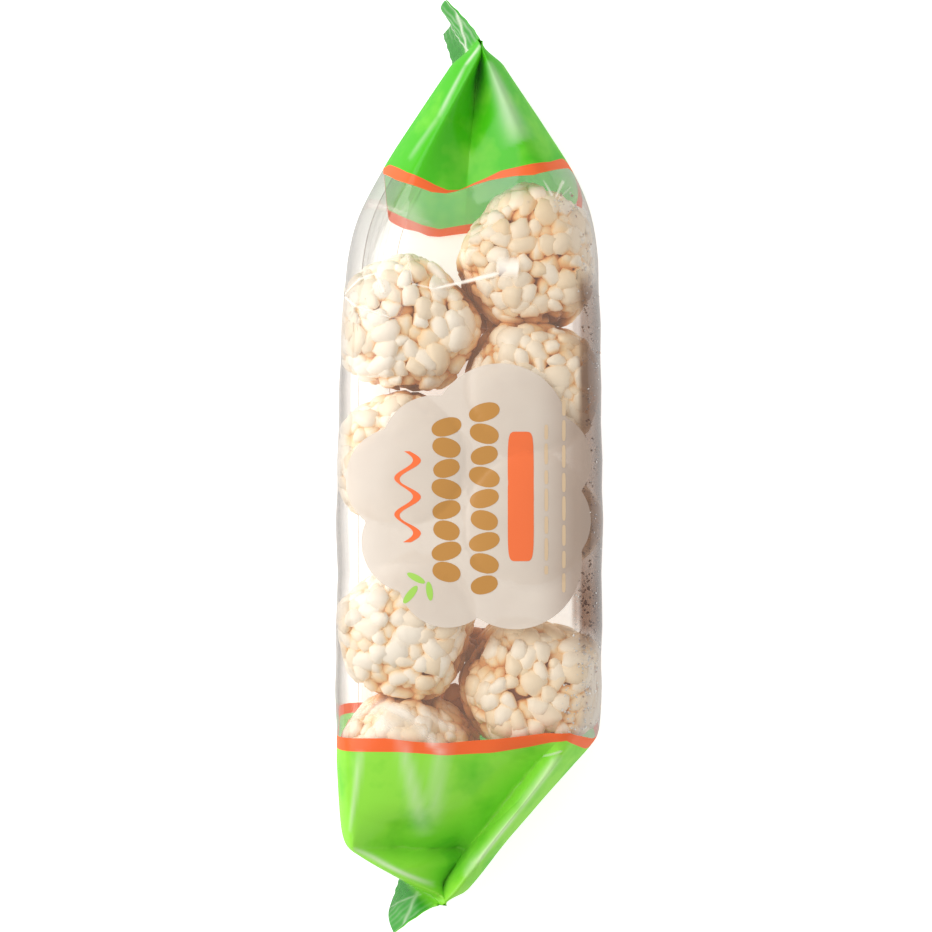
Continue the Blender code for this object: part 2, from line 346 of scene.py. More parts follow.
def folded(points):
    """Dips along FOLD_LINES, on the front only: one minus distance over reach, to FOLD_POWER."""
    out = points.copy()
    front = ramp(points[..., 2], MID_HEIGHT, DEPTH * 0.7)
    for x0, y0, x1, y1, drop, left, right, *shares in FOLD_LINES:
        run, rise = x1 - x0, y1 - y0
        length = np.hypot(run, rise)
        along = ((points[..., 0] - x0) * run + (points[..., 1] - y0) * rise) / length ** 2
        beside = ((points[..., 1] - y0) * run - (points[..., 0] - x0) * rise) / length
        width = np.where(beside > 0, left, right)
        dip = np.clip(1 - np.abs(beside) / width, 0, 1) ** FOLD_POWER
        share = ramp(along, *shares[:2]) * (1 - ramp(along, *shares[2:]))
        out[..., 2] -= drop * dip * share * front
    return out


# %% [markdown]
# ## One grid for the whole tube
#
# All sections have the same number of points, so stacking them gives one grid from seal to seal.
# The rows lie closer where the film folds. A single grid, rather than a body with ends joined on,
# leaves no joint to show in clear film.

# %% The whole tube as one grid
BODY_STEP = 0.75 * MM
FOLD_STEP = 0.6 * MM
SEAL_ROWS = 26


def reaches(end):
    """Distances from the middle: wide steps along the body, narrow ones where the film folds."""
    body = np.arange(BODY_STEP, end["fold_start"], BODY_STEP)
    steps = int((end["root"] - end["fold_start"]) / FOLD_STEP)
    fold = np.linspace(end["fold_start"], end["root"], steps)
    return np.concatenate([body, fold])


def tube():
    """Points (rows, COLUMNS, 3) from the lower cut edge to the upper one."""
    y = np.concatenate([-reaches(BOTTOM)[::-1], [0.0], reaches(TOP)])
    upper = closed_outlines(*section_anchors(TOP, np.maximum(y, 0)))
    lower = closed_outlines(*section_anchors(BOTTOM, np.maximum(-y, 0)))
    blend = smooth(ramp(y, -0.02, 0.02))[:, None, None]
    outline = mix(lower, upper, blend)
    share = np.arange(1, SEAL_ROWS + 1) / SEAL_ROWS
    top_seal, bottom_seal = seal_outlines(TOP, share), seal_outlines(BOTTOM, share)[::-1]
    y_top = mix(TOP["root"], TOP["cut"], share)
    y_bottom = -mix(BOTTOM["root"], BOTTOM["cut"], share)[::-1]
    flat = np.concatenate([bottom_seal, outline, top_seal])
    rows_y = np.concatenate([y_bottom, y, y_top])
    grid = np.stack([flat[..., 0], np.repeat(rows_y[:, None], COLUMNS, 1), flat[..., 1]], 2)
    return folded(pressed(grid)), rows_y


plain_tube, rows_y = tube()
print("film grid:", plain_tube.shape[0], "rows of", plain_tube.shape[1], "points")

# %% [markdown]
# ## Creases in the film
#
# Stiff clear film never lies smooth: it is drawn tight between the cakes and breaks into fine
# creases, and each crease catches the light as a pale line. We give every crease as a line on the
# front, with its width and height. The same strokes move the film outwards and mark it with a
# "glare" value, which the film's finish turns into a milky streak: a painted highlight.

# %% Creases as strokes
# Soft ones: (x0, y0, x1, y1, half width at the start, at the end, height, glare), all in mm
STROKES = (
    (-25.2, -66.5, -27.7, -84.5, 0.90, 0.40, 0.25, 0.30),
    (-15.9, -62.0, -10.4, -86.0, 1.10, 2.20, 0.30, 0.28),
    (-6.0, -62.0, -8.8, -83.5, 1.60, 2.00, 0.30, 0.22),
    (20.6, -67.2, 11.1, -80.1, 0.90, 0.70, 0.10, 0.35),
    (11.1, -80.1, -0.9, -94.6, 0.70, 0.60, 0.10, 0.45),
    (2.5, 97.0, -1.0, 92.6, 0.35, 0.35, 0.10, 0.60),
    (-1.0, 92.6, -6.9, 80.8, 0.35, 0.60, 0.15, 0.40),
    (-6.9, 80.8, -13.8, 71.5, 0.60, 0.60, 0.15, 0.20),
    (4.6, 93.0, 11.5, 75.5, 0.80, 2.80, 0.20, 0.40),
    (-26.5, -88.6, -8.5, -97.5, 0.45, 0.45, 0.10, 0.55),
    (-24.0, 62.0, -9.0, 56.0, 0.50, 0.50, 0.20, 0.25),
    (-14.0, 60.5, -12.0, 52.0, 2.20, 3.20, 0.20, 0.20),
    (-27.0, -58.4, -19.8, -54.7, 0.60, 1.10, 0.25, 0.50),
    (-20.4, -54.8, -12.7, -58.4, 1.10, 1.00, 0.25, 0.60),
    (-13.3, -58.0, -6.0, -67.0, 1.00, 0.80, 0.25, 0.50),
    (-23.0, -55.6, -16.5, -62.0, 0.80, 1.30, 0.15, 0.35),
    (-10.5, -57.0, -2.5, -61.5, 0.60, 0.80, 0.15, 0.30),
)
# Sharp ones, laid on the film as thin strips: the same, with the glare at the start and at the end
GLEAMS = (
    (7.2, 44.6, -8.5, 40.9, 0.75, 0.35, 0.10, 0.90, 0.75),
    (-8.0, 40.9, -13.2, 42.2, 0.30, 0.25, 0.05, 0.50, 0.35),
    (-12.9, 41.6, -14.3, 49.0, 0.25, 0.30, 0.05, 0.35, 0.30),
    (6.0, 46.0, 11.5, 45.8, 2.60, 2.90, 0.00, 0.70, 0.97),
    (-29.6, 40.4, -25.2, 43.9, 0.30, 0.40, 0.10, 0.50, 0.50),
    (-25.8, 43.5, -21.3, 44.8, 0.40, 0.35, 0.10, 0.45, 0.45),
    (-21.9, 45.1, -19.7, 40.0, 0.35, 0.90, 0.10, 0.50, 0.50),
    (-29.5, 40.1, -26.3, 37.1, 0.35, 0.60, 0.10, 0.60, 0.60),
    (-26.7, 37.4, -18.0, 34.4, 0.60, 0.25, 0.10, 0.55, 0.40),
    (17.0, 66.6, 19.3, 62.6, 0.20, 0.60, 0.12, 0.20, 0.55),
    (22.0, 67.0, 19.9, 62.2, 0.60, 0.25, 0.12, 0.45, 0.55),
    (23.9, 65.8, 20.6, 62.0, 0.20, 0.30, 0.10, 0.15, 0.35),
    (14.0, -68.4, 21.6, -65.6, 0.30, 0.45, 0.10, 0.25, 0.35),
)


CRUMPLE_WAVES = 14
CRUMPLE_LENGTHS = (9, 34)
CRUMPLE_STEEPNESS = 0.0022
# The crimped seals get painted highlights: fine stripes across the depth, and the long glints below
CRIMP_STRIPES = 15
# Long glints on a seal: (where on its cut edge, where at its root, half width), in shares of the depth
CRIMP_GLINTS = ((0.13, 0.50, 0.024), (0.96, 0.72, 0.026), (0.60, 0.42, 0.012))
print(len(STROKES), "soft creases and", len(GLEAMS), "sharp ones")


def on_front(points):
    """1 on the film's front, 0 on its back."""
    return ramp(points[..., 2], MID_HEIGHT, DEPTH * 0.6)


def stroke(points, x0, y0, x1, y1, wide_from, wide_to):
    """A soft line between two points: falls off with the squared distance, and tapers at both ends."""
    x, y = points[..., 0] / MM, points[..., 1] / MM
    length = np.hypot(x1 - x0, y1 - y0)
    t = ((x - x0) * (x1 - x0) + (y - y0) * (y1 - y0)) / length ** 2
    apart = np.hypot(x - mix(x0, x1, np.clip(t, 0, 1)), y - mix(y0, y1, np.clip(t, 0, 1)))
    inside = np.clip(4 * (t + 0.05) * (1.05 - t), 0, 1)
    half_width = mix(wide_from, wide_to, np.clip(t, 0, 1))
    return np.exp(-(apart / half_width) ** 2) * np.sqrt(inside)


def creases(points):
    """Height (metres) and glare (0 to 1) of all strokes together."""
    height = np.zeros(points.shape[:-1])
    glare = np.zeros(points.shape[:-1])
    for *place, rise, shine in STROKES:
        line = stroke(points, *place)
        height += rise * MM * line
        glare = np.maximum(glare, shine * line)
    for *place, rise, _, _ in GLEAMS:
        height += rise * MM * stroke(points, *place)
    return height * on_front(points), glare * on_front(points)


def crumple(points):
    """Small random unevenness: a sum of sine waves in random directions, CRUMPLE_LENGTHS mm long."""
    rng = np.random.default_rng(5)
    total = np.zeros(points.shape[:-1])
    for _ in range(CRUMPLE_WAVES):
        wavelength = rng.uniform(*CRUMPLE_LENGTHS) * MM
        direction = rng.normal(size=3)
        direction /= np.linalg.norm(direction)
        phase = rng.uniform(0, 2 * np.pi)
        total += np.sin(points @ direction * 2 * np.pi / wavelength + phase) * wavelength
    return total * CRUMPLE_STEEPNESS


def seal_share(y):
    """0 on the body, and 0 to 1 from the root of a seal to its cut edge."""
    upper = ramp(y, TOP["root"], TOP["cut"])
    return np.maximum(upper, ramp(-y, BOTTOM["root"], BOTTOM["cut"]))


def crimp_highlights():
    """Painted highlights on the seals: fine stripes that come and go, and three long glints."""
    share = seal_share(rows_y)[:, None]
    down = 1 - np.abs(1 - 2 * np.arange(COLUMNS) / COLUMNS)[None]
    stripes = 0.5 + 0.5 * np.sin(2 * np.pi * (CRIMP_STRIPES * down + 0.6 * share))
    patchy = 0.5 + 0.5 * np.sin(8 * down - 4 * share + 1.0)
    glints = np.zeros_like(share * down)
    for at_cut, at_root, wide in CRIMP_GLINTS:
        line = mix(at_root, at_cut, share)
        glints = np.maximum(glints, np.exp(-((down - line) / wide) ** 2))
    upper_end = mix(0.5, 1.0, rows_y[:, None] > 0)
    painted_glints = np.maximum(0.26 * stripes ** 2 * patchy, 0.75 * glints)
    return upper_end * painted_glints * (share > 0.04) * ramp(down, 0.05, 0.10)


# %% [markdown]
# ## Put the creases into the surface
#
# A crease stands out from the film whichever way the film faces there, so each point moves along
# its own normal, by the height of the strokes and of the random unevenness. The seals are left
# as they are, because the crimping jaws have pressed them flat.

# %% Creased film
FLOOR_CLEARANCE = 0.00005


def outward_normals(grid):
    """Unit normals of a grid that is closed round its columns: the cross product of its two slopes."""
    around = np.roll(grid, -1, 1) - np.roll(grid, 1, 1)
    along = np.gradient(grid, axis=0)
    normal = np.cross(along, around)
    return normal / np.maximum(np.linalg.norm(normal, axis=2, keepdims=True), 1e-12)


normals = outward_normals(plain_tube)
outwards = np.sign((normals[..., 2] * (plain_tube[..., 2] - MID_HEIGHT)).sum())
normals = normals * outwards
crease_height, glare = creases(plain_tube)
ends = smooth(ramp(np.abs(rows_y), 0.045, 0.075))[:, None]
in_seal = ((rows_y > TOP["root"]) | (rows_y < -BOTTOM["root"]))[:, None]
unevenness = crumple(plain_tube) * mix(0.35, 1.0, ends)
height = np.where(in_seal, 0.0, crease_height + unevenness)
film_grid = plain_tube + normals * height[..., None]
film_grid[..., 2] = np.maximum(film_grid[..., 2], FLOOR_CLEARANCE)
glare = np.maximum(glare, crimp_highlights())
from_front = 1 - np.abs(1 - 2 * np.arange(COLUMNS) / COLUMNS)[None]
crimp = smooth(ramp(seal_share(rows_y), 0.0, 0.2))[:, None] * ramp(from_front, 0.04, 0.10)
middle = (plain_tube.reshape(-1, 3).min(0) + plain_tube.reshape(-1, 3).max(0)) / 2
film_grid[..., :2] -= middle[:2]
print("creases stand up to", round(float(crease_height.max()) / MM, 2), "mm proud")

# %% Faces of the tube
def tube_faces(rows, columns):
    """Quads between neighbouring rows and columns, and each end shut by pairing its two halves."""
    i = np.arange(rows - 1)[:, None] * columns
    j = np.arange(columns)[None, :]
    k = (j + 1) % columns
    quads = np.stack([i + k, i + columns + k, i + columns + j, i + j], -1).reshape(-1, 4)
    first = np.arange(1, columns // 2 - 1)
    shut = np.stack([first, first + 1, columns - first - 1, columns - first], 1)
    tip = np.array([[0, 1, columns - 1], [columns // 2 - 1, columns // 2, columns // 2 + 1]])
    last = (rows - 1) * columns
    quads = np.concatenate([quads, shut[:, ::-1], shut + last])
    return [quads, np.concatenate([tip[:, ::-1], tip + last])]


# %% [markdown]
# ## The film's finish
#
# The film is about 30 micrometre polypropylene, made glossy and clear. The ends carry green ink
# with an orange stripe along its edge. Each edge of the print is a line drawn over the packet's
# width, one for the front and one for the back, and every point of the film knows how far past it
# lies: that number switches clear film to orange and orange to green. Clear film is a mix of
# "look straight through" and a sharp gloss that grows at grazing angles; ink is a glossy coloured
# layer that hides most of what lies behind it.

# %% Where the print lies
# Each edge of the print is a line over the packet's width, (x, y) in mm. The first of each pair
# is where the stripe starts, the second where it gives way to green.
TOP_FRONT = (
    ((-31, 76.0), (-20.2, 69.0), (-17.0, 66.6), (-14.4, 65.4), (-8.8, 63.4), (-5.5, 63.2), (-3.4, 63.7),
     (1.0, 65.4), (4.7, 66.4), (9.8, 67.1), (14.9, 67.3), (18.2, 68.4), (24.2, 70.6), (31, 73.0)),
    ((-31, 79.0), (-19.0, 71.3), (-14.4, 68.1), (-10.4, 66.3), (-7.8, 65.0), (-5.1, 64.0), (-2.4, 64.2),
     (1.0, 65.9), (4.0, 67.1), (7.1, 68.5), (11.5, 69.3), (15.5, 70.1), (18.7, 70.8), (23.3, 73.3), (31, 76.0)),
)
TOP_BACK = (
    ((-31, 82.0), (-20.9, 82.0), (-20.3, 61.4), (-19.4, 60.3), (-16.2, 59.0), (-12.7, 58.3), (-10.2, 57.2),
     (-7.5, 57.0), (5, 58.5), (31, 62.0)),
    ((-31, 84.0), (-20.9, 84.0), (-20.3, 63.6), (-19.9, 63.0), (-16.9, 62.0), (-14.4, 61.1), (-11.8, 60.0),
     (-7.5, 58.9), (5, 60.8), (31, 64.4)),
)
BOTTOM_FRONT = (
    ((-31, -63.2), (-19.2, -62.9), (-11.8, -63.7), (-4.8, -63.9), (5.5, -63.1), (17.8, -61.4), (23.2, -61.6),
     (31, -65.5)),
    ((-31, -66.2), (-15.9, -66.0), (-4.8, -66.8), (5.5, -66.4), (13.7, -64.9), (19.0, -63.7), (22.4, -63.4),
     (28.3, -67.6), (31, -69.2)),
)
BOTTOM_BACK = (
    ((-31, -58.5), (0, -59.5), (31, -60.5)),
    ((-31, -61.0), (0, -62.0), (31, -63.0)),
)


def past_edge(points, front_line, back_line, sign):
    """Metres past one edge of the print: the front's line on the front, the back's on the back."""
    x, y = points[..., 0] / MM, points[..., 1] / MM
    front = np.interp(x, *zip(*front_line))
    back = np.interp(x, *zip(*back_line))
    return (y - mix(front, back, back_share()[None])) * sign * MM


def print_distances(points):
    """How far each point lies past the stripe's start and past the green's start, at the nearer end."""
    stripe_top = past_edge(points, TOP_FRONT[0], TOP_BACK[0], 1)
    stripe_bottom = past_edge(points, BOTTOM_FRONT[0], BOTTOM_BACK[0], -1)
    green_top = past_edge(points, TOP_FRONT[1], TOP_BACK[1], 1)
    green_bottom = past_edge(points, BOTTOM_FRONT[1], BOTTOM_BACK[1], -1)
    return np.maximum(stripe_top, stripe_bottom), np.maximum(green_top, green_bottom)


def back_share():
    """0 on the front of the tube and 1 on its back, for each column."""
    turn = np.arange(COLUMNS) / COLUMNS
    return smooth(ramp(1 - np.abs(1 - 2 * turn), 0.42, 0.60))


def behind_share():
    """back_share for every point of the film: 0 on the front, 1 on the back."""
    return np.repeat(back_share()[None], len(rows_y), 0)


def rim_shade(points):
    """1 along the right edge, where a brown band is painted as shade: above and below, not down the side."""
    x, y, z = points[..., 0] / MM, points[..., 1] / MM, points[..., 2]
    along = ramp(y, -44, -37) * (1 - ramp(y, 41, 46))
    above = smooth(ramp(z, DEPTH * 0.42, DEPTH * 0.74))
    below = 1 - ramp(z, DEPTH * 0.06, DEPTH * 0.18)
    lower_end = mix(0.75, 1.0, ramp(-y, 22, 30))
    return ramp(x, 25.2, 26.1) * along * lower_end * np.maximum(above, below)


past_stripe, past_green = print_distances(plain_tube)
print("print covers", round(100 * float((past_stripe > 0).mean())), "% of the film's points")


# %% Film material
# Cast polypropylene is clear and smooth: it mirrors little seen straight on and much edge on, which
# draws the packet's outline. Each pair is (what is added edge on, at the back or in the green,
# and what is always there).
FILM_MIRROR = (0.45, 0.05)
INK_MIRROR = (0.10, 0.025)
INK_SEEN_THROUGH = (0.42, 0.06)
INK_TINT = (-0.28, 0.88)
# The green ink is painted lighter and yellower towards the lower end, where more light falls: painted light
PAINTED_LIGHT_PER_METRE = -2.2
MIRROR_POWER = 3.0
SMOKY_POWER = 1.7
INK_NOISE = 90.0


def film_material():
    """Clear polypropylene film with green ink ends, orange stripes, painted highlights along its creases and a
    painted brown shade along its right edge.
    """
    material, tree, output = new_material("printed polypropylene film")
    past = add_node(tree, "ShaderNodeAttribute", {"attribute_name": "past_stripe"})
    far_past = add_node(tree, "ShaderNodeAttribute", {"attribute_name": "past_green"})
    shine = add_node(tree, "ShaderNodeAttribute", {"attribute_name": "glare"})
    place = add_node(tree, "ShaderNodeTexCoord")
    uneven = add_node(
        tree, "ShaderNodeTexNoise", None, {"Scale": INK_NOISE, "Detail": 3.0},
        {"Vector": place.outputs["Object"]},
    )
    inked = add_node(
        tree, "ShaderNodeMath", {"operation": "GREATER_THAN"}, {1: 0.0}, {0: past.outputs["Fac"]},
    )
    green_part = add_node(
        tree, "ShaderNodeMath", {"operation": "GREATER_THAN"}, {1: 0.0}, {0: far_past.outputs["Fac"]},
    )
    apart = add_node(tree, "ShaderNodeSeparateXYZ", None, None, {0: place.outputs["Object"]})
    # Painted light along the length, plus the ink's own random unevenness
    lit_and_uneven = add_node(
        tree, "ShaderNodeMath", {"operation": "MULTIPLY_ADD"}, {1: PAINTED_LIGHT_PER_METRE},
        {0: apart.outputs["Y"], 2: uneven.outputs["Fac"]},
    )
    greens = add_node(tree, "ShaderNodeValToRGB", None, None, {"Fac": lit_and_uneven.outputs[0]})
    greens.color_ramp.elements[0].position = 0.3
    greens.color_ramp.elements[0].color = linear("#48BE0C")
    greens.color_ramp.elements[1].position = 0.7
    greens.color_ramp.elements[1].color = linear("#92E040")
    crimped = add_node(tree, "ShaderNodeAttribute", {"attribute_name": "crimp"})
    ends = add_node(
        tree, "ShaderNodeMix", {"data_type": "RGBA"}, {7: linear("#2F9C20")},
        {0: crimped.outputs["Fac"], 6: greens.outputs["Color"]},
    )
    ink = add_node(
        tree, "ShaderNodeMix", {"data_type": "RGBA"}, {6: linear("#F56A31")},
        {0: green_part.outputs[0], 7: ends.outputs[2]},
    )
    # Ink mixed towards white by the glare: painted highlights on the print
    painted_highlight = add_node(
        tree, "ShaderNodeMix", {"data_type": "RGBA"}, {7: linear("#FBF6EC")},
        {0: shine.outputs["Fac"], 6: ink.outputs[2]},
    )
    edge_on = add_node(tree, "ShaderNodeLayerWeight", None, {"Blend": 0.5})
    steep = add_node(
        tree, "ShaderNodeMath", {"operation": "POWER"}, {1: MIRROR_POWER}, {0: edge_on.outputs["Facing"]},
    )
    matt_ink = add_node(tree, "ShaderNodeBsdfDiffuse", None, None, {"Color": painted_highlight.outputs[2]})
    ink_gloss = add_node(tree, "ShaderNodeBsdfGlossy", None, {"Roughness": 0.22, "Color": linear("#FFFFFF")})
    ink_shine = add_node(
        tree, "ShaderNodeMath", {"operation": "MULTIPLY_ADD"},
        {1: INK_MIRROR[0], 2: INK_MIRROR[1]}, {0: steep.outputs[0]},
    )
    printed = add_node(
        tree, "ShaderNodeMixShader", None, None,
        {0: ink_shine.outputs[0], 1: matt_ink.outputs[0], 2: ink_gloss.outputs[0]},
    )
    soft_edge = add_node(
        tree, "ShaderNodeMath", {"operation": "POWER"}, {1: SMOKY_POWER}, {0: edge_on.outputs["Facing"]},
    )
    smoky = add_node(
        tree, "ShaderNodeMix", {"data_type": "RGBA"}, {6: linear("#FCFCFB"), 7: linear("#8C847D")},
        {0: soft_edge.outputs[0]},
    )
    # The rim value multiplies the clear film brown: painted shade along the right edge, and the seam's thin edge
    # lines
    rim = add_node(tree, "ShaderNodeAttribute", {"attribute_name": "rim"})
    browned = add_node(
        tree, "ShaderNodeMix", {"data_type": "RGBA", "blend_type": "MULTIPLY"}, {7: linear("#A28472")},
        {0: rim.outputs["Fac"], 6: smoky.outputs[2]},
    )
    through = add_node(tree, "ShaderNodeBsdfTransparent", None, None, {"Color": browned.outputs[2]})
    gloss = add_node(tree, "ShaderNodeBsdfGlossy", None, {"Roughness": 0.10, "Color": linear("#FFFFFF")})
    mirrored = add_node(
        tree, "ShaderNodeMath", {"operation": "MULTIPLY_ADD"},
        {1: FILM_MIRROR[0], 2: FILM_MIRROR[1]}, {0: steep.outputs[0]},
    )
    clear = add_node(
        tree, "ShaderNodeMixShader", None, None,
        {0: mirrored.outputs[0], 1: through.outputs[0], 2: gloss.outputs[0]},
    )
    # Clear film mixed towards a pale white by the glare: painted highlights along the creases
    cloudy = add_node(
        tree, "ShaderNodeBsdfPrincipled", None, {"Base Color": linear("#FBF5EA"), "Roughness": 0.35},
    )
    streaked = add_node(
        tree, "ShaderNodeMixShader", None, None,
        {0: shine.outputs["Fac"], 1: clear.outputs[0], 2: cloudy.outputs[0]},
    )
    strength = add_node(
        tree, "ShaderNodeMath", {"operation": "MULTIPLY_ADD"},
        {1: INK_TINT[0], 2: INK_TINT[1]}, {0: green_part.outputs[0]},
    )
    pale_ink = add_node(
        tree, "ShaderNodeMix", {"data_type": "RGBA"}, {6: linear("#FFFFFF")},
        {0: strength.outputs[0], 7: ink.outputs[2]},
    )
    tinted = add_node(tree, "ShaderNodeBsdfTransparent", None, None, {"Color": pale_ink.outputs[2]})
    behind = add_node(tree, "ShaderNodeAttribute", {"attribute_name": "behind"})
    see_through = add_node(
        tree, "ShaderNodeMath", {"operation": "MULTIPLY_ADD"},
        {1: INK_SEEN_THROUGH[0], 2: INK_SEEN_THROUGH[1]}, {0: behind.outputs["Fac"]},
    )
    ink_layer = add_node(
        tree, "ShaderNodeMixShader", None, None,
        {0: see_through.outputs[0], 1: printed.outputs[0], 2: tinted.outputs[0]},
    )
    whole = add_node(
        tree, "ShaderNodeMixShader", None, None,
        {0: inked.outputs[0], 1: streaked.outputs[0], 2: ink_layer.outputs[0]},
    )
    tree.links.new(whole.outputs[0], output.inputs["Surface"])
    return material


film = make_piece(
    "film_wrap", film_grid.reshape(-1, 3), tube_faces(*film_grid.shape[:2]), film_material(),
    {
        "past_stripe": past_stripe, "past_green": past_green, "glare": glare, "crimp": crimp,
        "rim": rim_shade(plain_tube), "behind": behind_share(),
    },
)

# %% [markdown]
# ## The printed panel
#
# The front carries a cloud of white ink, and on it fields of colour: two rows of ochre ovals like
# grains, a plain orange bar with round ends, a wavy orange line, small green leaves and fine tan
# dashes. Each is a flat shape laid on the film: its outline is a formula, rings of points fill it,
# and the film's own height lifts every point so that the print follows the film.

# %% Laying a flat shape on the film
TABLE_REACH = 0.088
TABLE_COLUMNS = 313


def front_table():
    """The front film's height on a regular grid of X for each row of the body."""
    quarter = COLUMNS // 4
    strip = film_grid[:, np.arange(-quarter, quarter + 1)]
    rows = np.flatnonzero(np.abs(rows_y) < TABLE_REACH)
    x = np.linspace(-HALF_WIDTH, HALF_WIDTH, TABLE_COLUMNS)
    z = np.array([np.interp(x, strip[r, :, 0], strip[r, :, 2]) for r in rows])
    return x, rows_y[rows] - middle[1], z


TABLE_X, TABLE_Y, TABLE_Z = front_table()
print("height table of the front:", *TABLE_Z.shape, "values")


def front_height(x, y):
    """The film's height at any (x, y): a straight blend of the four nearest table values."""
    column = np.clip(np.interp(x, TABLE_X, np.arange(len(TABLE_X))), 0, len(TABLE_X) - 1.001)
    row = np.clip(np.interp(y, TABLE_Y, np.arange(len(TABLE_Y))), 0, len(TABLE_Y) - 1.001)
    i, j = row.astype(int), column.astype(int)
    a, b = row - i, column - j
    lower = mix(TABLE_Z[i, j], TABLE_Z[i, j + 1], b)
    upper = mix(TABLE_Z[i + 1, j], TABLE_Z[i + 1, j + 1], b)
    return mix(lower, upper, a)


def filled(outlines, rings):
    """Flat shapes (shapes, n, 2) in mm filled with rings: points, quads and centre triangles."""
    count, n = outlines.shape[:2]
    centre = outlines.mean(1, keepdims=True)
    share = (np.arange(1, rings + 1) / rings)[None, :, None, None]
    rim = centre[:, None] + (outlines - centre)[:, None] * share
    flat = np.concatenate([centre, rim.reshape(count, -1, 2)], 1)
    i = np.arange(rings - 1)[:, None] * n + 1
    j = np.arange(n)[None, :]
    k = (j + 1) % n
    quads = np.stack([i + j, i + n + j, i + n + k, i + k], -1).reshape(-1, 4)
    fan = np.stack([np.zeros(n, int), j[0] + 1, k[0] + 1], 1)
    base = np.arange(count)[:, None, None] * flat.shape[1]
    return flat.reshape(-1, 2) * MM, (quads[None] + base).reshape(-1, 4), (fan[None] + base).reshape(-1, 3)


def lay_print(name, outlines, rings, lift, material):
    """A printed shape on the film's front, lift metres proud of it."""
    flat, quads, fans = filled(outlines, rings)
    points = np.column_stack([flat, front_height(flat[:, 0], flat[:, 1]) + lift])
    return make_piece(name, points, [quads, fans], material)


# %% [markdown]
# ## Sharp creases
#
# Where film is creased tight it catches the light along a line finer than the film's grid. So these
# gleams are thin tapered strips laid on the film: painted highlights with a faint glow, milky along
# the middle and clear at their edges.

# %% Sharp creases as strips
LIFT_MARKS = 0.11 * MM


def strip_faces(count, rows, columns):
    """Quads of count separate grids of rows by columns points."""
    i = np.arange(rows - 1)[:, None] * columns
    j = np.arange(columns - 1)[None, :]
    quads = np.stack([i + j, i + j + 1, i + columns + j + 1, i + columns + j], -1).reshape(-1, 4)
    return (quads[None] + np.arange(count)[:, None, None] * rows * columns).reshape(-1, 4)


def gleam_strips(rows=41, columns=7):
    """Each gleam as a tapered strip lying on the film, brightest along its middle line."""
    lines = np.array(GLEAMS)
    start, run = lines[:, None, None, 0:2], (lines[:, 2:4] - lines[:, 0:2])[:, None, None]
    unit = run / np.linalg.norm(run, axis=-1, keepdims=True)
    sideways = np.stack([-unit[..., 1], unit[..., 0]], -1)
    t = np.linspace(0, 1, rows)[None, :, None, None]
    across = np.linspace(-1, 1, columns)[None, None, :, None]
    taper = np.sqrt(np.clip(12 * t * (1 - t), 0.0, 1))
    half = mix(lines[:, 4, None, None, None], lines[:, 5, None, None, None], t)
    flat = ((start + run * t + sideways * half * taper * across) * MM).reshape(-1, 2)
    glow = mix(lines[:, 7, None, None, None], lines[:, 8, None, None, None], t)
    shine = glow * (1 - across ** 2) ** 1.3 * taper
    points = np.column_stack([flat, front_height(flat[:, 0], flat[:, 1]) + LIFT_MARKS])
    return points, strip_faces(len(lines), rows, columns), shine


def gleam_material():
    """Painted highlight along a crease: milky white with a faint glow, clear where the glare runs out."""
    material, tree, output = new_material("painted crease highlight")
    shine = add_node(tree, "ShaderNodeAttribute", {"attribute_name": "glare"})
    clear = add_node(tree, "ShaderNodeBsdfTransparent")
    # The painted highlight itself: pale, with a faint glow though it is no lamp
    painted_highlight = add_node(
        tree, "ShaderNodeBsdfPrincipled", None,
        {
            "Base Color": linear("#FFF8EC"), "Roughness": 0.35,
            "Emission Color": linear("#FFF3E2"), "Emission Strength": 0.12,
        },
    )
    layer = add_node(
        tree, "ShaderNodeMixShader", None, None,
        {0: shine.outputs["Fac"], 1: clear.outputs[0], 2: painted_highlight.outputs[0]},
    )
    tree.links.new(layer.outputs[0], output.inputs["Surface"])
    return material


gleam_points, gleam_faces, gleam_shine = gleam_strips()
make_piece("crease_gleams", gleam_points, [gleam_faces], gleam_material(), {"glare": gleam_shine})

# %% [markdown]
# ## The seam along the back
#
# The sheet is joined lengthwise by a flat seam folded over against the back. Seen through the
# clear film it is a faint strip with a thin line at each side. It is a narrow grid of its own, in
# the same film, and the back's print shows through it.

# %% Back seam
SEAM_X = (-27.6, -19.7)
SEAM_Y = (-92.0, 88.0)
SEAM_INSET = 2.5
SEAM_GAP = 0.02 * MM


def seam_grid(columns=29):
    """A strip against the back of the film, row by row; towards the ends it keeps inside the packet's left edge."""
    rows = np.flatnonzero((rows_y > SEAM_Y[0] * MM) & (rows_y < SEAM_Y[1] * MM))
    y = rows_y[rows][:, None] * np.ones((1, columns))
    upper = edge_line(TOP["left_side"], np.maximum(y, 0), HALF_WIDTH)
    lower = edge_line(BOTTOM["left_side"], np.maximum(-y, 0), HALF_WIDTH)
    edge = -np.minimum(upper, lower) / MM
    left = np.maximum(SEAM_X[0], edge + SEAM_INSET)
    x = (left + np.linspace(0, SEAM_X[1] - SEAM_X[0], columns)[None]) * MM
    quarter = COLUMNS // 4
    back = film_grid[:, 3 * quarter:quarter - 1:-1]
    z = np.array([np.interp(x[i], back[r, :, 0], back[r, :, 2]) for i, r in enumerate(rows)])
    return np.stack([x, y - middle[1], np.maximum(z - SEAM_GAP, SEAM_GAP)], 2)


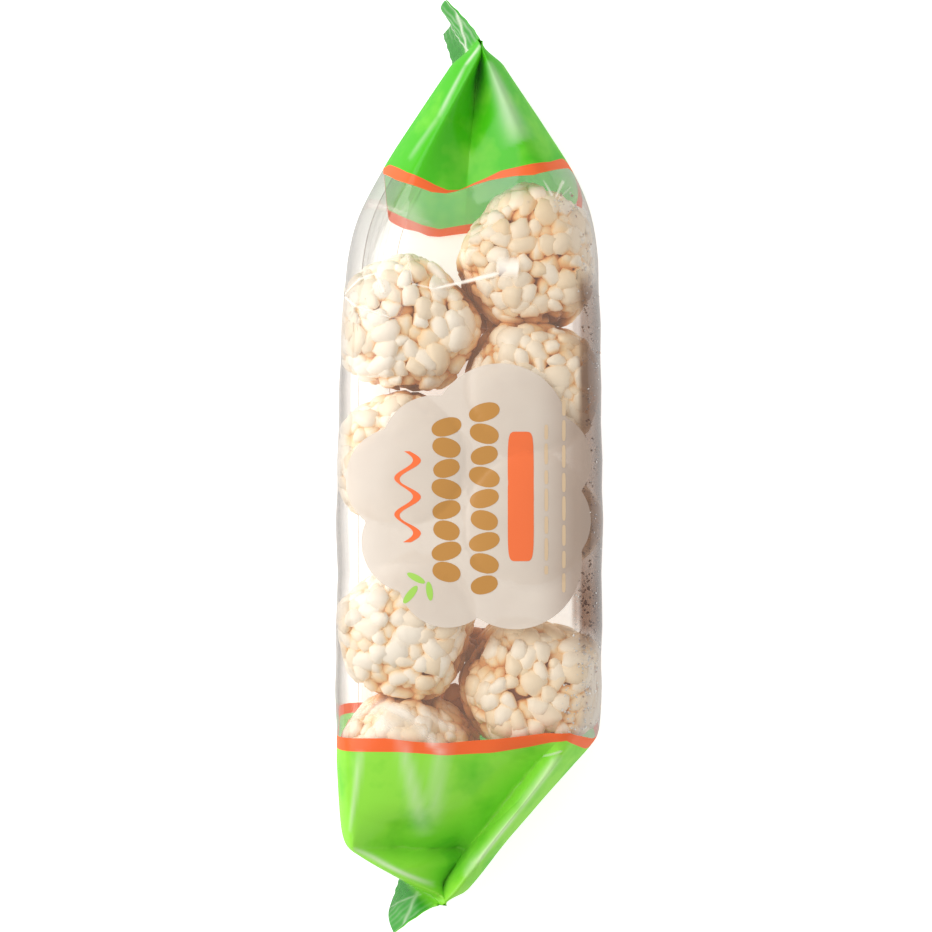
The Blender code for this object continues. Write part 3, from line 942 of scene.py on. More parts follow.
seam = seam_grid()
seam_across = np.linspace(0, 1, seam.shape[1])[None] * np.ones((seam.shape[0], 1))
seam_lines = 0.12 * (np.cos(2 * np.pi * 7 * seam_across) > 0.2) * (np.abs(seam_across - 0.5) < 0.36)
seam_dark = 1.0 * (np.minimum(seam_across, 1 - seam_across) < 0.02)
none = np.zeros(seam.shape[:2])
make_piece(
    "back_seam", seam.reshape(-1, 3), [strip_faces(1, *seam.shape[:2])[:, ::-1]], film.data.materials[0],
    {
        "past_stripe": none - 1, "past_green": none - 1, "glare": seam_lines, "crimp": none,
        "rim": seam_dark, "behind": none + 1,
    },
)

# %% [markdown]
# ## Outlines of the print
#
# A printer's plate carries plain outlines, and so do we: the white cloud is the outer edge of eight
# circles, ovals, dashes, leaves and the bar are superellipses, and the wavy line follows a sine.
# Each outline is a formula of the angle or the length, so a whole row of shapes is one array.

# %% Outlines of the printed shapes, in mm
TURN = 2 * np.pi * np.arange(240) / 240
CLOUD_CENTRE = np.array([1.0, -7.0])
CLOUD_LOBES = (
    (7.0, 8.0, 15.8), (17.4, 1.5, 11.0), (-8.0, 4.0, 12.5), (-16.8, -3.0, 12.0), (-13.5, -17.5, 11.5),
    (-5.0, -25.5, 11.5), (10.5, -21.8, 15.6), (16.6, -12.5, 11.6),
)


def cloud():
    """The outer edge of overlapping circles from a point inside: centre part plus root part."""
    direction = np.stack([np.cos(TURN), np.sin(TURN)], 1)
    edge = np.zeros(len(TURN))
    for x, y, radius in CLOUD_LOBES:
        offset = np.array([x, y]) - CLOUD_CENTRE
        ahead = direction @ offset
        root = radius ** 2 - offset @ offset + ahead ** 2
        edge = np.maximum(edge, ahead + np.sqrt(np.maximum(root, 0)))
    return (CLOUD_CENTRE + direction * edge[:, None])[None]


def rounded_bars(places, power, points=72):
    """Superellipses (x, y, half width, half length, turn in degrees): cosine and sine to 2 over power."""
    turn = 2 * np.pi * np.arange(points) / points
    unit = np.stack([np.cos(turn), np.sin(turn)], 1)
    unit = np.sign(unit) * np.abs(unit) ** (2 / power)
    places = np.array(places, float)
    local = unit[None] * places[:, None, 2:4]
    angle = np.radians(places[:, 4])[:, None]
    x = local[..., 0] * np.cos(angle) - local[..., 1] * np.sin(angle)
    y = local[..., 0] * np.sin(angle) + local[..., 1] * np.cos(angle)
    return np.stack([x, y], 2) + places[:, None, :2]


def grain_row(x, y_from, y_to, count, half_width, tilt):
    """A row of ovals at even steps, leaning left and right in turn."""
    y = np.linspace(y_from, y_to, count)
    return [
        (x, at, half_width * (1 - 0.06 * (i % 3)), 2.05 + 0.15 * (i % 2), tilt * (-1) ** i)
        for i, at in enumerate(y)
    ]


def wavy_band(x, y_from, y_to, swing, half_width, waves):
    """A band along a sine wave: its two edges stand half a width to either side."""
    y = np.linspace(y_from, y_to, 90)
    phase = 2 * np.pi * waves * (y - y_from) / (y_to - y_from)
    thick = half_width * (0.45 + 0.55 * np.abs(np.sin(phase / 2 + 0.4)))
    middle_x = x + swing * np.sin(phase)
    return np.stack([np.stack([middle_x - thick, y], 1), np.stack([middle_x + thick, y], 1)], 0)


# %% [markdown]
# ## Ink on film
#
# Packet ink is a thin layer of pigment in resin. It dries glossy, a little uneven in tone, and the
# white one lets a trace of the rice behind it show. One material serves for all the inks, with
# its two tones and its cover as choices; the white one also turns darker towards the right, a
# painted shade where the film curves away from the light.

# %% Inks
INK_MOTTLE = 0.25
SHADE_RAMP_WIDTH = 13 * MM


def ink_material(name, first, second, cover, shaded_from=1.0):
    """Glossy ink on film, cover of it opaque, in two mottled tones; from shaded_from (m) rightwards the second tone
    takes over as painted shade.
    """
    material, tree, output = new_material(name)
    place = add_node(tree, "ShaderNodeTexCoord")
    cloudy = add_node(
        tree, "ShaderNodeTexNoise", None, {"Scale": 120.0, "Detail": 2.0}, {"Vector": place.outputs["Object"]},
    )
    apart = add_node(tree, "ShaderNodeSeparateXYZ", None, None, {0: place.outputs["Object"]})
    shaded_right = add_node(
        tree, "ShaderNodeMapRange", {"interpolation_type": "SMOOTHSTEP"},
        {"From Min": shaded_from, "From Max": shaded_from + SHADE_RAMP_WIDTH}, {"Value": apart.outputs["X"]},
    )
    mottled = add_node(
        tree, "ShaderNodeMath", {"operation": "MULTIPLY_ADD"}, {1: INK_MOTTLE},
        {0: cloudy.outputs["Fac"], 2: shaded_right.outputs[0]},
    )
    tone = add_node(
        tree, "ShaderNodeMix", {"data_type": "RGBA"}, {6: linear(first), 7: linear(second)},
        {0: mottled.outputs[0]},
    )
    ink = add_node(
        tree, "ShaderNodeBsdfPrincipled", None, {"Roughness": 0.28, "IOR": 1.49}, {"Base Color": tone.outputs[2]},
    )
    clear = add_node(tree, "ShaderNodeBsdfTransparent")
    layer = add_node(
        tree, "ShaderNodeMixShader", None, {0: cover}, {1: clear.outputs[0], 2: ink.outputs[0]},
    )
    tree.links.new(layer.outputs[0], output.inputs["Surface"])
    return material


LIFT_PANEL = 0.06 * MM
# The white ink turns darker from 14 mm rightwards: painted shade
white_ink = ink_material("white ink", "#E2D5C6", "#B5A090", 0.92, 14 * MM)
lay_print("white_panel_print", cloud(), 60, LIFT_PANEL, white_ink)
ochre = grain_row(-5.3, 9.2, -24.2, 8, 3.5, 16) + grain_row(3.4, 12.6, -27.2, 9, 3.6, 16)
ochre_ink = ink_material("ochre ink", "#C18A42", "#B67A34", 1.0)
lay_print("ochre_grain_print", rounded_bars(ochre, 2.2), 5, LIFT_MARKS, ochre_ink)
bar = [(11.8, -6.8, 3.0, 14.9, 0.0)]
orange_ink = ink_material("orange ink", "#F4743C", "#EE6A32", 1.0)
lay_print("orange_bar_print", rounded_bars(bar, 7.0, 160), 24, LIFT_MARKS, orange_ink)
leaves = [(-12.3, -25.6, 0.75, 2.3, 62.0), (-9.2, -28.6, 0.75, 2.2, 8.0), (-13.6, -29.4, 0.85, 2.5, -38.0)]
leaf_ink = ink_material("leaf green ink", "#A6D65A", "#97CC4B", 1.0)
lay_print("green_leaf_print", rounded_bars(leaves, 2.0), 4, LIFT_MARKS, leaf_ink)
# Dashes of the two rows: (y, half length) each
INNER_DASHES = ((8.0, 1.7), (3.0, 2.4), (-2.4, 1.6), (-7.6, 2.6), (-13.4, 2.0), (-19.0, 2.6), (-23.8, 1.0))
OUTER_DASHES = (
    (13.6, 1.8), (8.4, 2.4), (2.4, 2.6), (-3.6, 2.2), (-9.6, 2.8), (-15.8, 2.4), (-21.4, 2.0), (-26.8, 2.2),
)
DASH_HALF_WIDTH = 0.42
dashes = [(17.7, y, DASH_HALF_WIDTH, half, 0.0) for y, half in INNER_DASHES]
dashes += [(21.8, y, DASH_HALF_WIDTH, half, 0.0) for y, half in OUTER_DASHES]
tan_ink = ink_material("tan ink", "#DCC09C", "#D6B68F", 1.0)
lay_print("tan_dash_print", rounded_bars(dashes, 4.0), 4, LIFT_MARKS, tan_ink)


# %% The wavy line
def wavy_print():
    """Two edges joined into one strip of quads."""
    left, right = wavy_band(-14.4, 3.6, -17.4, 2.3, 0.95, 2.5)
    flat = np.concatenate([left, right]) * MM
    n = len(left)
    j = np.arange(n - 1)
    quads = np.stack([j, j + 1, n + j + 1, n + j], 1)
    points = np.column_stack([flat, front_height(flat[:, 0], flat[:, 1]) + LIFT_MARKS])
    line_ink = ink_material("orange line ink", "#F9743A", "#F4682E", 1.0)
    return make_piece("orange_wave_print", points, [quads], line_ink)


wavy_print()

# %% [markdown]
# ## A rice cake
#
# A cake is a short roll of puffed rice held together with sugar syrup. Each grain is a plump,
# slightly lumpy ellipsoid 4 to 7 mm long. We spread points evenly over a rounded cylinder, put a
# grain on each and press whatever sticks out back towards the roll, as the mould does. Real grains
# would be far too many as separate objects, so all of a cake's grains are one mesh, worked out in
# a single set of arrays: grains along one axis and the points of a small ball along another.

# %% One small ball
RINGS = 5
SPOKES = 9


def ball():
    """Points and faces of a unit ball: RINGS rings of SPOKES points, and a point at each pole."""
    polar = np.pi * np.arange(1, RINGS + 1) / (RINGS + 1)
    turn = 2 * np.pi * np.arange(SPOKES) / SPOKES
    x = np.sin(polar)[:, None] * np.cos(turn)
    y = np.sin(polar)[:, None] * np.sin(turn)
    z = np.repeat(np.cos(polar)[:, None], SPOKES, 1)
    points = np.concatenate([np.stack([x, y, z], 2).reshape(-1, 3), [[0, 0, 1], [0, 0, -1]]])
    i = np.arange(RINGS - 1)[:, None] * SPOKES
    j = np.arange(SPOKES)[None, :]
    k = (j + 1) % SPOKES
    quads = np.stack([i + j, i + SPOKES + j, i + SPOKES + k, i + k], -1).reshape(-1, 4)
    j, k = j[0], k[0]
    last = (RINGS - 1) * SPOKES
    north, south = RINGS * SPOKES, RINGS * SPOKES + 1
    top = np.stack([j, k, np.full(SPOKES, north)], 1)
    low = np.stack([last + k, last + j, np.full(SPOKES, south)], 1)
    return points, quads, np.concatenate([top, low])


BALL_POINTS, BALL_QUADS, BALL_TRIANGLES = ball()
print("a grain has", len(BALL_QUADS) + len(BALL_TRIANGLES), "faces")

# %% Points spread over a roll
ROUNDING = 3.6
SPACING = 5.6 * MM
SPREAD_ROUNDS = 30
JITTER = 0.35 * MM


def depth_in_roll(points, radius, half_height):
    """1 on the rounded cylinder and less inside: the root of the two distances' powers of ROUNDING."""
    beside = np.hypot(points[..., 0], points[..., 1]) / radius
    above = np.abs(points[..., 2]) / half_height
    return (beside ** ROUNDING + above ** ROUNDING) ** (1 / ROUNDING)


def spread_points(count, radius, half_height, rng):
    """Evenly spaced points on the roll: start on a golden spiral and push neighbours apart."""
    n = np.arange(count) + 0.5
    z = 1 - 2 * n / count
    turn = n * np.pi * (1 + 5 ** 0.5)
    ring = np.sqrt(1 - z * z)
    points = np.stack([ring * np.cos(turn), ring * np.sin(turn), z], 1)
    points = (points + rng.normal(0, 0.03, points.shape)) * radius
    points /= depth_in_roll(points, radius, half_height)[:, None]
    for _ in range(SPREAD_ROUNDS):
        gap = points[:, None] - points[None, :]
        apart = np.linalg.norm(gap, axis=2) + 1e-9
        push = np.clip(1 - apart / SPACING, 0, 1) / apart
        np.fill_diagonal(push, 0)
        points = points + (gap * push[..., None]).sum(1) * 0.25 * MM
        points /= depth_in_roll(points, radius, half_height)[:, None]
    return points + rng.normal(0, JITTER, points.shape)


# %% Grains on a roll
GRAINS = 330
MOST_OUT = 0.07
# Extra depth in mm where cakes nearly touch, which turns the rice brown: painted shade
PAINTED_SHADE_DEPTH = 3.4
UNEVEN = 0.05
# Half axes of a grain and how deep its middle is sunk, each from and to, in mm before its own size
HALF_AXES = ((2.5, 3.1), (2.1, 2.7), (2.9, 3.8))
SUNK = (0.7, 2.8)
LUMP = 0.10
LUMPS = 4.6
print("a roll carries", GRAINS, "grains, about", round(SPACING / MM, 1), "mm apart")


def turned_frames(normal, rng):
    """A rotation for each grain: its long axis mostly along the roll's surface, sometimes end-on."""
    count = len(normal)
    spin = rng.normal(size=(count, 3))
    long_axis = spin - normal * (spin * normal).sum(1, keepdims=True)
    long_axis /= np.linalg.norm(long_axis, axis=1, keepdims=True)
    lift = rng.normal(0, 0.35, (count, 1)) + np.where(rng.random((count, 1)) < 0.22, 1.6, 0.0)
    long_axis = long_axis + normal * lift
    long_axis /= np.linalg.norm(long_axis, axis=1, keepdims=True)
    second = np.cross(normal, long_axis)
    second /= np.linalg.norm(second, axis=1, keepdims=True)
    third = np.cross(long_axis, second)
    return np.stack([second, third, long_axis], 2)


def grains(radius, half_height, rng):
    """Points (grains, ball, 3) of all the grains of one cake, and how deep inside it each lies, in mm."""
    centres = spread_points(GRAINS, radius, half_height, rng)
    beside = np.hypot(centres[:, 0], centres[:, 1])
    slope = np.stack([
        centres[:, 0] * beside ** (ROUNDING - 2) / radius ** ROUNDING,
        centres[:, 1] * beside ** (ROUNDING - 2) / radius ** ROUNDING,
        np.sign(centres[:, 2]) * np.abs(centres[:, 2]) ** (ROUNDING - 1) / half_height ** ROUNDING,
    ], 1)
    normal = slope / np.linalg.norm(slope, axis=1, keepdims=True)
    size = (0.68 + 0.46 * rng.random((GRAINS, 1)) ** 1.3) * MM
    half = np.concatenate([size * rng.uniform(*reach, (GRAINS, 1)) for reach in HALF_AXES], 1)
    sunk = rng.uniform(*SUNK, (GRAINS, 1)) * MM
    centres = centres - normal * sunk
    direction = BALL_POINTS[None] + 0.0
    phase = rng.uniform(0, 2 * np.pi, (GRAINS, 1, 3))
    lump = 1 + LUMP * np.sin(LUMPS * direction + phase).sum(2, keepdims=True)
    local = direction * lump * half[:, None]
    frames = turned_frames(normal, rng)
    points = centres[:, None] + np.einsum("nij,nkj->nki", frames, local)
    out = depth_in_roll(points, radius, half_height)
    end_on = ramp(np.abs(points[..., 2]) / half_height, 0.7, 0.95)
    spare = mix(0.70, 0.92, end_on)
    over = np.maximum(out - 1, 0) * spare
    kept = np.where(out > 1, 1 + MOST_OUT * np.tanh(over / MOST_OUT), out)
    points = points * (kept / out)[..., None]
    deep = (1 - depth_in_roll(points, radius, half_height)) * radius / MM
    turn = np.arctan2(points[..., 1], points[..., 0])
    lobes = rng.uniform(0, 2 * np.pi, 3)
    swell = 1 + UNEVEN * sum(np.sin(k * turn + lobe) for k, lobe in zip((2, 3, 5), lobes)) / 1.5
    points[..., :2] *= swell[..., None]
    return points, deep


# %% [markdown]
# ## What lies between the grains
#
# Between the grains you look into the cake, where syrup and shade make the rice look toasted. A
# lumpy core a little smaller than the roll closes those gaps; its deep brown is painted shade. The
# grain colour changes with depth: ivory outside, then warm cream, then caramel where the grains
# meet the core, partly syrup and partly painted shade.

# %% A cake as one mesh
CORE_SHARE = 0.83
CORE_RINGS = 24
CORE_SPOKES = 36
# The core takes the darkest brown: painted shade inside the cake
CORE_DEEP = 4.6
CORE_LUMP = 0.035
CORE_LUMP_SIZE = 1.1 * MM


def core(radius, half_height, rng):
    """A closed lumpy roll inside the grains, as a grid from pole to pole."""
    polar = np.linspace(0.04, np.pi - 0.04, CORE_RINGS)[:, None]
    turn = 2 * np.pi * np.arange(CORE_SPOKES)[None] / CORE_SPOKES
    flat = np.sin(polar) * np.ones_like(turn)
    points = np.stack([flat * np.cos(turn), flat * np.sin(turn), np.cos(polar) * np.ones_like(turn)], 2)
    points = points / depth_in_roll(points, radius, half_height)[..., None] * CORE_SHARE
    phase = rng.uniform(0, 6.3, 3)
    lumps = np.sin(points / CORE_LUMP_SIZE + phase).prod(2, keepdims=True)
    points = points * (1 + CORE_LUMP * lumps)
    return np.concatenate([points.reshape(-1, 3), [points[0].mean(0), points[-1].mean(0)]])


def core_faces():
    """The quads of the core's grid, and the triangles that shut its two poles."""
    i = np.arange(CORE_RINGS - 1)[:, None] * CORE_SPOKES
    j = np.arange(CORE_SPOKES)[None, :]
    k = (j + 1) % CORE_SPOKES
    quads = np.stack([i + j, i + CORE_SPOKES + j, i + CORE_SPOKES + k, i + k], -1).reshape(-1, 4)
    j, k = j[0], k[0]
    last = (CORE_RINGS - 1) * CORE_SPOKES
    north = CORE_RINGS * CORE_SPOKES
    top = np.stack([j, k, np.full(CORE_SPOKES, north)], 1)
    low = np.stack([last + k, last + j, np.full(CORE_SPOKES, north + 1)], 1)
    return quads, np.concatenate([top, low])


def tilted(points, tilt_x, tilt_y):
    """Points turned about X and then Y, in degrees."""
    a, b = np.radians(tilt_x), np.radians(tilt_y)
    about_x = np.array([[1, 0, 0], [0, np.cos(a), -np.sin(a)], [0, np.sin(a), np.cos(a)]])
    about_y = np.array([[np.cos(b), 0, np.sin(b)], [0, 1, 0], [-np.sin(b), 0, np.cos(b)]])
    return points @ (about_y @ about_x).T


# %% [markdown]
# ## Puffed rice
#
# Puffed rice is expanded starch under a thin sugar glaze: matt and faintly see-through, so light
# that has gone round inside a grain comes out again in its shaded parts. A faint warm glow of the
# material stands for that, and a fine noise in the bump gives the blistered skin of a puffed grain.

# %% Rice material
# Blistered starch scatters light: no sharp shine, a soft warm glow, and a skin of fine bumps
RICE_GLOW = 0.085
SKIN_BUMP = 0.18
SKIN_DEPTH = 0.4 * MM
SKIN_NOISE = 700.0
DEEPEST = 5.0


def rice_material():
    """Glazed puffed rice: ivory outside, caramel deep between the grains, the darker depths partly syrup and partly
    painted shade.
    """
    material, tree, output = new_material("glazed puffed rice")
    deep = add_node(tree, "ShaderNodeAttribute", {"attribute_name": "deep_mm"})
    tone = add_node(tree, "ShaderNodeAttribute", {"attribute_name": "tone"})
    place = add_node(tree, "ShaderNodeTexCoord")
    skin = add_node(
        tree, "ShaderNodeTexNoise", None, {"Scale": SKIN_NOISE, "Detail": 2.0},
        {"Vector": place.outputs["Object"]},
    )
    scaled = add_node(tree, "ShaderNodeMath", {"operation": "DIVIDE"}, {1: DEEPEST}, {0: deep.outputs["Fac"]})
    colours = add_node(tree, "ShaderNodeValToRGB", None, None, {"Fac": scaled.outputs[0]})
    stops = colours.color_ramp
    stops.elements[0].position = 0.05
    stops.elements[0].color = linear("#FBF1E1")
    stops.elements[1].position = 0.54
    stops.elements[1].color = linear("#98532A")
    warm = stops.elements.new(0.18)
    warm.color = linear("#F5D9AE")
    shaded_caramel = stops.elements.new(0.32)
    shaded_caramel.color = linear("#E4AA70")
    tinted = add_node(
        tree, "ShaderNodeMix", {"data_type": "RGBA", "blend_type": "MULTIPLY"}, {7: linear("#F4DEBA")},
        {0: tone.outputs["Fac"], 6: colours.outputs["Color"]},
    )
    bump = add_node(
        tree, "ShaderNodeBump", None, {"Strength": SKIN_BUMP, "Distance": SKIN_DEPTH},
        {"Height": skin.outputs["Fac"]},
    )
    rice = add_node(
        tree, "ShaderNodeBsdfPrincipled", None,
        {
            "Roughness": 0.45, "IOR": 1.45,
            "Emission Color": linear("#FFDDB8"), "Emission Strength": RICE_GLOW,
        },
        {"Base Color": tinted.outputs[2], "Normal": bump.outputs["Normal"]},
    )
    tree.links.new(rice.outputs[0], output.inputs["Surface"])
    return material


RICE = rice_material()


# %% [markdown]
# ## The film holds the rice in
#
# Film under tension presses the outermost grains flat. We look up how high the film's front and
# how far out its sides are, and move points that would stand outside back in. One section of the
# film serves a whole cake, so this is only near enough: some points low down and at the sides of
# the cakes still end outside, none of them near the front.

# %% Keep rice inside the film
FILM_GAP = 0.15 * MM


def inside_film(points, y):
    """Points brought below the film's front and within its section at y, less a small gap.

    The width is limited before the height, and by one section for the whole cake. Some points low
    down and at the sides stay up to 1.6 mm outside the film.
    """
    section = film_grid[np.argmin(np.abs(rows_y - middle[1] - y))]
    side = COLUMNS // 8
    right, left = section[side:3 * side + 1][::-1], section[5 * side:7 * side + 1]
    out = points.copy()
    right_limit = np.interp(points[:, 2], right[:, 2], right[:, 0]) - FILM_GAP
    left_limit = np.interp(points[:, 2], left[:, 2], left[:, 0]) + FILM_GAP
    out[:, 0] = np.clip(points[:, 0], left_limit, right_limit)
    top = front_height(out[:, 0], out[:, 1]) - FILM_GAP
    out[:, 2] = np.clip(points[:, 2], 4 * FILM_GAP, top)
    return out


# %% [markdown]
# ## Eight cakes
#
# The cakes lie in two staggered rows, as they were dropped into the film. Where two of them nearly
# touch, little light gets in, so the rice there is given a browner depth: painted shade.

# %% Build the eight cakes
NEAR = 7.0 * MM
# The right-hand row gets a darker, warmer tone: painted shade on the side away from the light
RIGHT_ROW_SHADE = 0.20
OWN_TONE = 0.6


def between_cakes(points, number):
    """0 to 1 where a cake's side faces a neighbour closely, below the film: there it is painted brown as shade."""
    gap = np.full(len(points), 1.0)
    for other, (x, y, _, radius, *_) in enumerate(CAKES, 1):
        if other != number:
            gap = np.minimum(gap, np.hypot(points[:, 0] - x, points[:, 1] - y) - radius)
    below = 1 - ramp(points[:, 2], DEPTH * 0.62, DEPTH * 0.88)
    return (1 - ramp(gap, 0.0, NEAR)) * below


def make_cake(number, x, y, _, radius, half_height, tilt_x, tilt_y, seed):
    """One cake: its grains and its core in one mesh, tilted and set between the two sheets of film."""
    rng = np.random.default_rng(seed)
    grain_points, deep = grains(radius, half_height, rng)
    # Each grain's own random tone, plus the painted shade of the right-hand row
    tone_and_shade = OWN_TONE * rng.uniform(0, 1, (GRAINS, 1)) ** 1.5 + RIGHT_ROW_SHADE * (x > 0)
    tone = np.repeat(np.clip(tone_and_shade, 0, 1), len(BALL_POINTS), 1)
    core_points = core(radius, half_height, rng)
    base = np.arange(GRAINS)[:, None, None] * len(BALL_POINTS)
    quads = (BALL_QUADS[None] + base).reshape(-1, 4)
    triangles = (BALL_TRIANGLES[None] + base).reshape(-1, 3)
    first = GRAINS * len(BALL_POINTS)
    core_quads, core_triangles = core_faces()
    points = np.concatenate([grain_points.reshape(-1, 3), core_points])
    points = tilted(points, tilt_x, tilt_y) + np.array([x, y, MID_HEIGHT - 0.2 * MM])
    points[:, :2] -= middle[:2]
    points = inside_film(points, y)
    inner = np.concatenate([deep.ravel(), np.full(len(core_points), CORE_DEEP)])
    return make_piece(
        f"rice_cake_{number}", points,
        [np.concatenate([quads, core_quads + first]), np.concatenate([triangles, core_triangles + first])],
        RICE,
        {
            "deep_mm": inner + PAINTED_SHADE_DEPTH * between_cakes(points, number),
            "tone": np.concatenate([tone.ravel(), np.ones(len(core_points))]),
        },
    )


for number, cake in enumerate(CAKES, 1):
    make_cake(number, *cake)

# %% [markdown]
# ## Brown grains in the gaps
#
# Between some cakes lie dark brown wedges of shade. Brown grains heaped there paint that shade.

# %% Brown grains in the shaded gaps
# Where it lies: (x, y, how far it spreads, top height, how many grains), in mm
SHADE_GRAIN_PLACES = (
    (6.0, 36.4, 2.9, 17.0, 34),
    (2.6, -44.2, 2.4, 16.0, 26),
    (-2.4, -56.8, 2.3, 15.0, 26),
    (-0.2, -63.2, 2.2, 13.0, 24),
)


def shade_grains():
    """Grains at random places round each heap, turned every way; every point also gets a brown's depth, as painted
    shade.
    """
    rng = np.random.default_rng(19)
    counts = [row[4] for row in SHADE_GRAIN_PLACES]
    heaps = np.repeat(np.array([row[:4] for row in SHADE_GRAIN_PLACES]), counts, axis=0)
    count = len(heaps)
    flat = heaps[:, :2] + rng.normal(0, 0.6, (count, 2)) * heaps[:, 2:3]
    centres = np.column_stack([flat, rng.uniform(3.5, heaps[:, 3])]) * MM
    half = rng.uniform(1.4, 2.6, (count, 3)) * MM
    turns = np.linalg.qr(rng.normal(size=(count, 3, 3)))[0]
    turns *= np.sign(np.linalg.det(turns))[:, None, None]
    points = centres[:, None] + np.einsum("nij,nkj->nki", turns, BALL_POINTS[None] * half[:, None])
    inner = np.repeat(rng.uniform(1.7, 2.7, (count, 1)), len(BALL_POINTS), 1)
    return points.reshape(-1, 3), count, inner.ravel()


shade_grain_points, shade_grain_count, shade_grain_depth = shade_grains()
base = np.arange(shade_grain_count)[:, None, None] * len(BALL_POINTS)
make_piece(
    "shade_grains", shade_grain_points,
    [(BALL_QUADS[None] + base).reshape(-1, 4), (BALL_TRIANGLES[None] + base).reshape(-1, 3)], RICE,
    {"deep_mm": shade_grain_depth, "tone": np.ones(len(shade_grain_points))},
)

# %% [markdown]
# ## Sugar and crumbs
#
# Sugar grains and broken rice gather in the fold along the packet's right edge. They are so small
# that an octahedron each is plenty: six points and eight faces, turned and sized at random.

# %% Crumbs
# Where crumbs lie: (x from, x to, y from, y to, count), in mm
CRUMB_PLACES = (
    (26.2, 30.6, -62.0, 42.0, 300), (24.0, 29.0, -48.0, -24.0, 90), (19.5, 25.5, 58.0, 64.5, 26),
    (25.0, 29.5, 40.0, 56.0, 40), (21.0, 28.5, -62.0, -50.0, 60),
)


def crumbs():
    """Octahedra 0.3 to 0.7 mm under the film's front, in CRUMB_PLACES; a few corners still come through it."""
    rng = np.random.default_rng(77)
    spots = np.concatenate([
        np.stack([rng.uniform(x0, x1, n), rng.uniform(y0, y1, n)], 1) for x0, x1, y0, y1, n in CRUMB_PLACES
    ]) * MM
    count = len(spots)
    size = rng.uniform(0.14, 0.42, (count, 1, 1)) * MM
    corners = np.concatenate([np.eye(3), -np.eye(3)])[None] * rng.uniform(0.6, 1.4, (count, 6, 1))
    turns = np.linalg.qr(rng.normal(size=(count, 3, 3)))[0]
    turns *= np.sign(np.linalg.det(turns))[:, None, None]
    under = front_height(spots[:, 0], spots[:, 1]) - rng.uniform(0.3, 0.7, count) * MM
    centres = np.column_stack([spots, under])[:, None]
    points = centres + np.einsum("nij,nkj->nki", turns, corners) * size
    around = np.array([
        [0, 1, 2], [1, 3, 2], [3, 4, 2], [4, 0, 2], [1, 0, 5], [3, 1, 5], [4, 3, 5], [0, 4, 5],
    ])
    faces = (around[None] + np.arange(count)[:, None, None] * 6).reshape(-1, 3)
    tone = np.repeat(rng.random((count, 1)), 6, 1)
    return points.reshape(-1, 3), faces, tone.ravel()


def crumb_material():
    """Sugar white, with some crumbs of toasted rice."""
    material, tree, output = new_material("sugar and rice crumbs")
    tone = add_node(tree, "ShaderNodeAttribute", {"attribute_name": "tone"})
    kinds = add_node(tree, "ShaderNodeValToRGB", None, None, {"Fac": tone.outputs["Fac"]})
    kinds.color_ramp.elements[0].position = 0.80
    kinds.color_ramp.elements[0].color = linear("#F8F3EC")
    kinds.color_ramp.elements[1].position = 1.00
    kinds.color_ramp.elements[1].color = linear("#B98255")
    sugar = add_node(
        tree, "ShaderNodeBsdfPrincipled", None, {"Roughness": 0.3, "IOR": 1.5},
        {"Base Color": kinds.outputs["Color"]},
    )
    tree.links.new(sugar.outputs[0], output.inputs["Surface"])
    return material


crumb_points, crumb_faces, crumb_tone = crumbs()
make_piece("sugar_crumbs", crumb_points, [crumb_faces], crumb_material(), {"tone": crumb_tone})

# %% [markdown]
# ## The room
#
# A plain pale floor, a large soft light from the left and an even pale surrounding. The camera
# looks straight down on the lying packet from about half a metre, as the photograph does.

# %% Floor, light and camera
FLOOR = 3.0
PAPER_GLOW = 0.55
SURROUNDING = 0.68
WINDOW_PLACE = (-0.32, 0.13, 0.31)
WINDOW_AIM = (0, 0, 0.02)
WINDOW_SIZE = 0.48
WINDOW_WATTS = 1.62

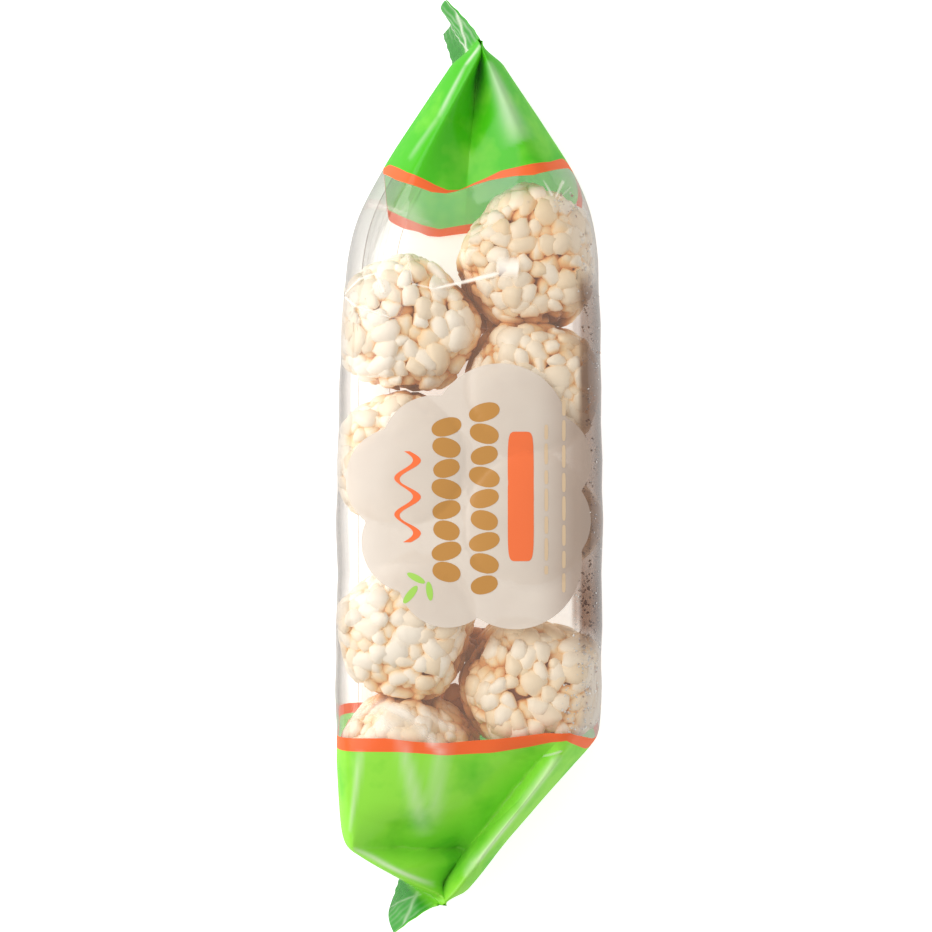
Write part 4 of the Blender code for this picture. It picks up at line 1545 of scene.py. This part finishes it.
floor_mesh = bpy.data.meshes.new("floor")
floor_corners = [(-FLOOR, -FLOOR, 0), (FLOOR, -FLOOR, 0), (FLOOR, FLOOR, 0), (-FLOOR, FLOOR, 0)]
floor_mesh.from_pydata(floor_corners, [], [(0, 1, 2, 3)])
floor = bpy.data.objects.new("floor", floor_mesh)
bpy.context.scene.collection.objects.link(floor)
floor_finish, tree, output = new_material("white studio paper")
paper = add_node(
    tree, "ShaderNodeBsdfPrincipled", None,
    {
        "Base Color": linear("#F4F4F4"), "Roughness": 0.8,
        "Emission Color": linear("#FFFFFF"), "Emission Strength": PAPER_GLOW,
    },
)
tree.links.new(paper.outputs[0], output.inputs["Surface"])
floor_mesh.materials.append(floor_finish)

world = bpy.data.worlds.new("studio")
world.use_nodes = True
world.node_tree.nodes["Background"].inputs["Color"].default_value = linear("#FFFFFF")
world.node_tree.nodes["Background"].inputs["Strength"].default_value = SURROUNDING
bpy.context.scene.world = world
bpy.context.scene.view_settings.view_transform = "Standard"


def soft_light(name, place, aim, size, watts):
    """A square area light at place, turned to shine at aim."""
    lamp = bpy.data.lights.new(name, "AREA")
    lamp.size = size
    lamp.energy = watts
    light = bpy.data.objects.new(name, lamp)
    bpy.context.scene.collection.objects.link(light)
    light.location = place
    direction = Vector(place) - Vector(aim)
    light.rotation_mode = "QUATERNION"
    light.rotation_quaternion = direction.to_track_quat("Z", "Y")
    return light


soft_light("window_left", WINDOW_PLACE, WINDOW_AIM, WINDOW_SIZE, WINDOW_WATTS)

SENSOR = 36.0
CAMERA_HEIGHT = 0.50
CAMERA_OFFSET = (-0.00080, 0.0002)
MM_PER_PIXEL = 0.24
IMAGE_WIDTH = 932
view_width = IMAGE_WIDTH * MM_PER_PIXEL * MM
lens = bpy.data.cameras.new("camera")
lens.sensor_width = SENSOR
lens.lens = SENSOR * (CAMERA_HEIGHT - MID_HEIGHT) / view_width
lens.clip_start = 0.01
camera = bpy.data.objects.new("camera", lens)
camera.location = (*CAMERA_OFFSET, CAMERA_HEIGHT)
bpy.context.scene.collection.objects.link(camera)
bpy.context.scene.camera = camera
print("camera", CAMERA_HEIGHT, "m up, with a lens of", round(lens.lens, 1), "mm")
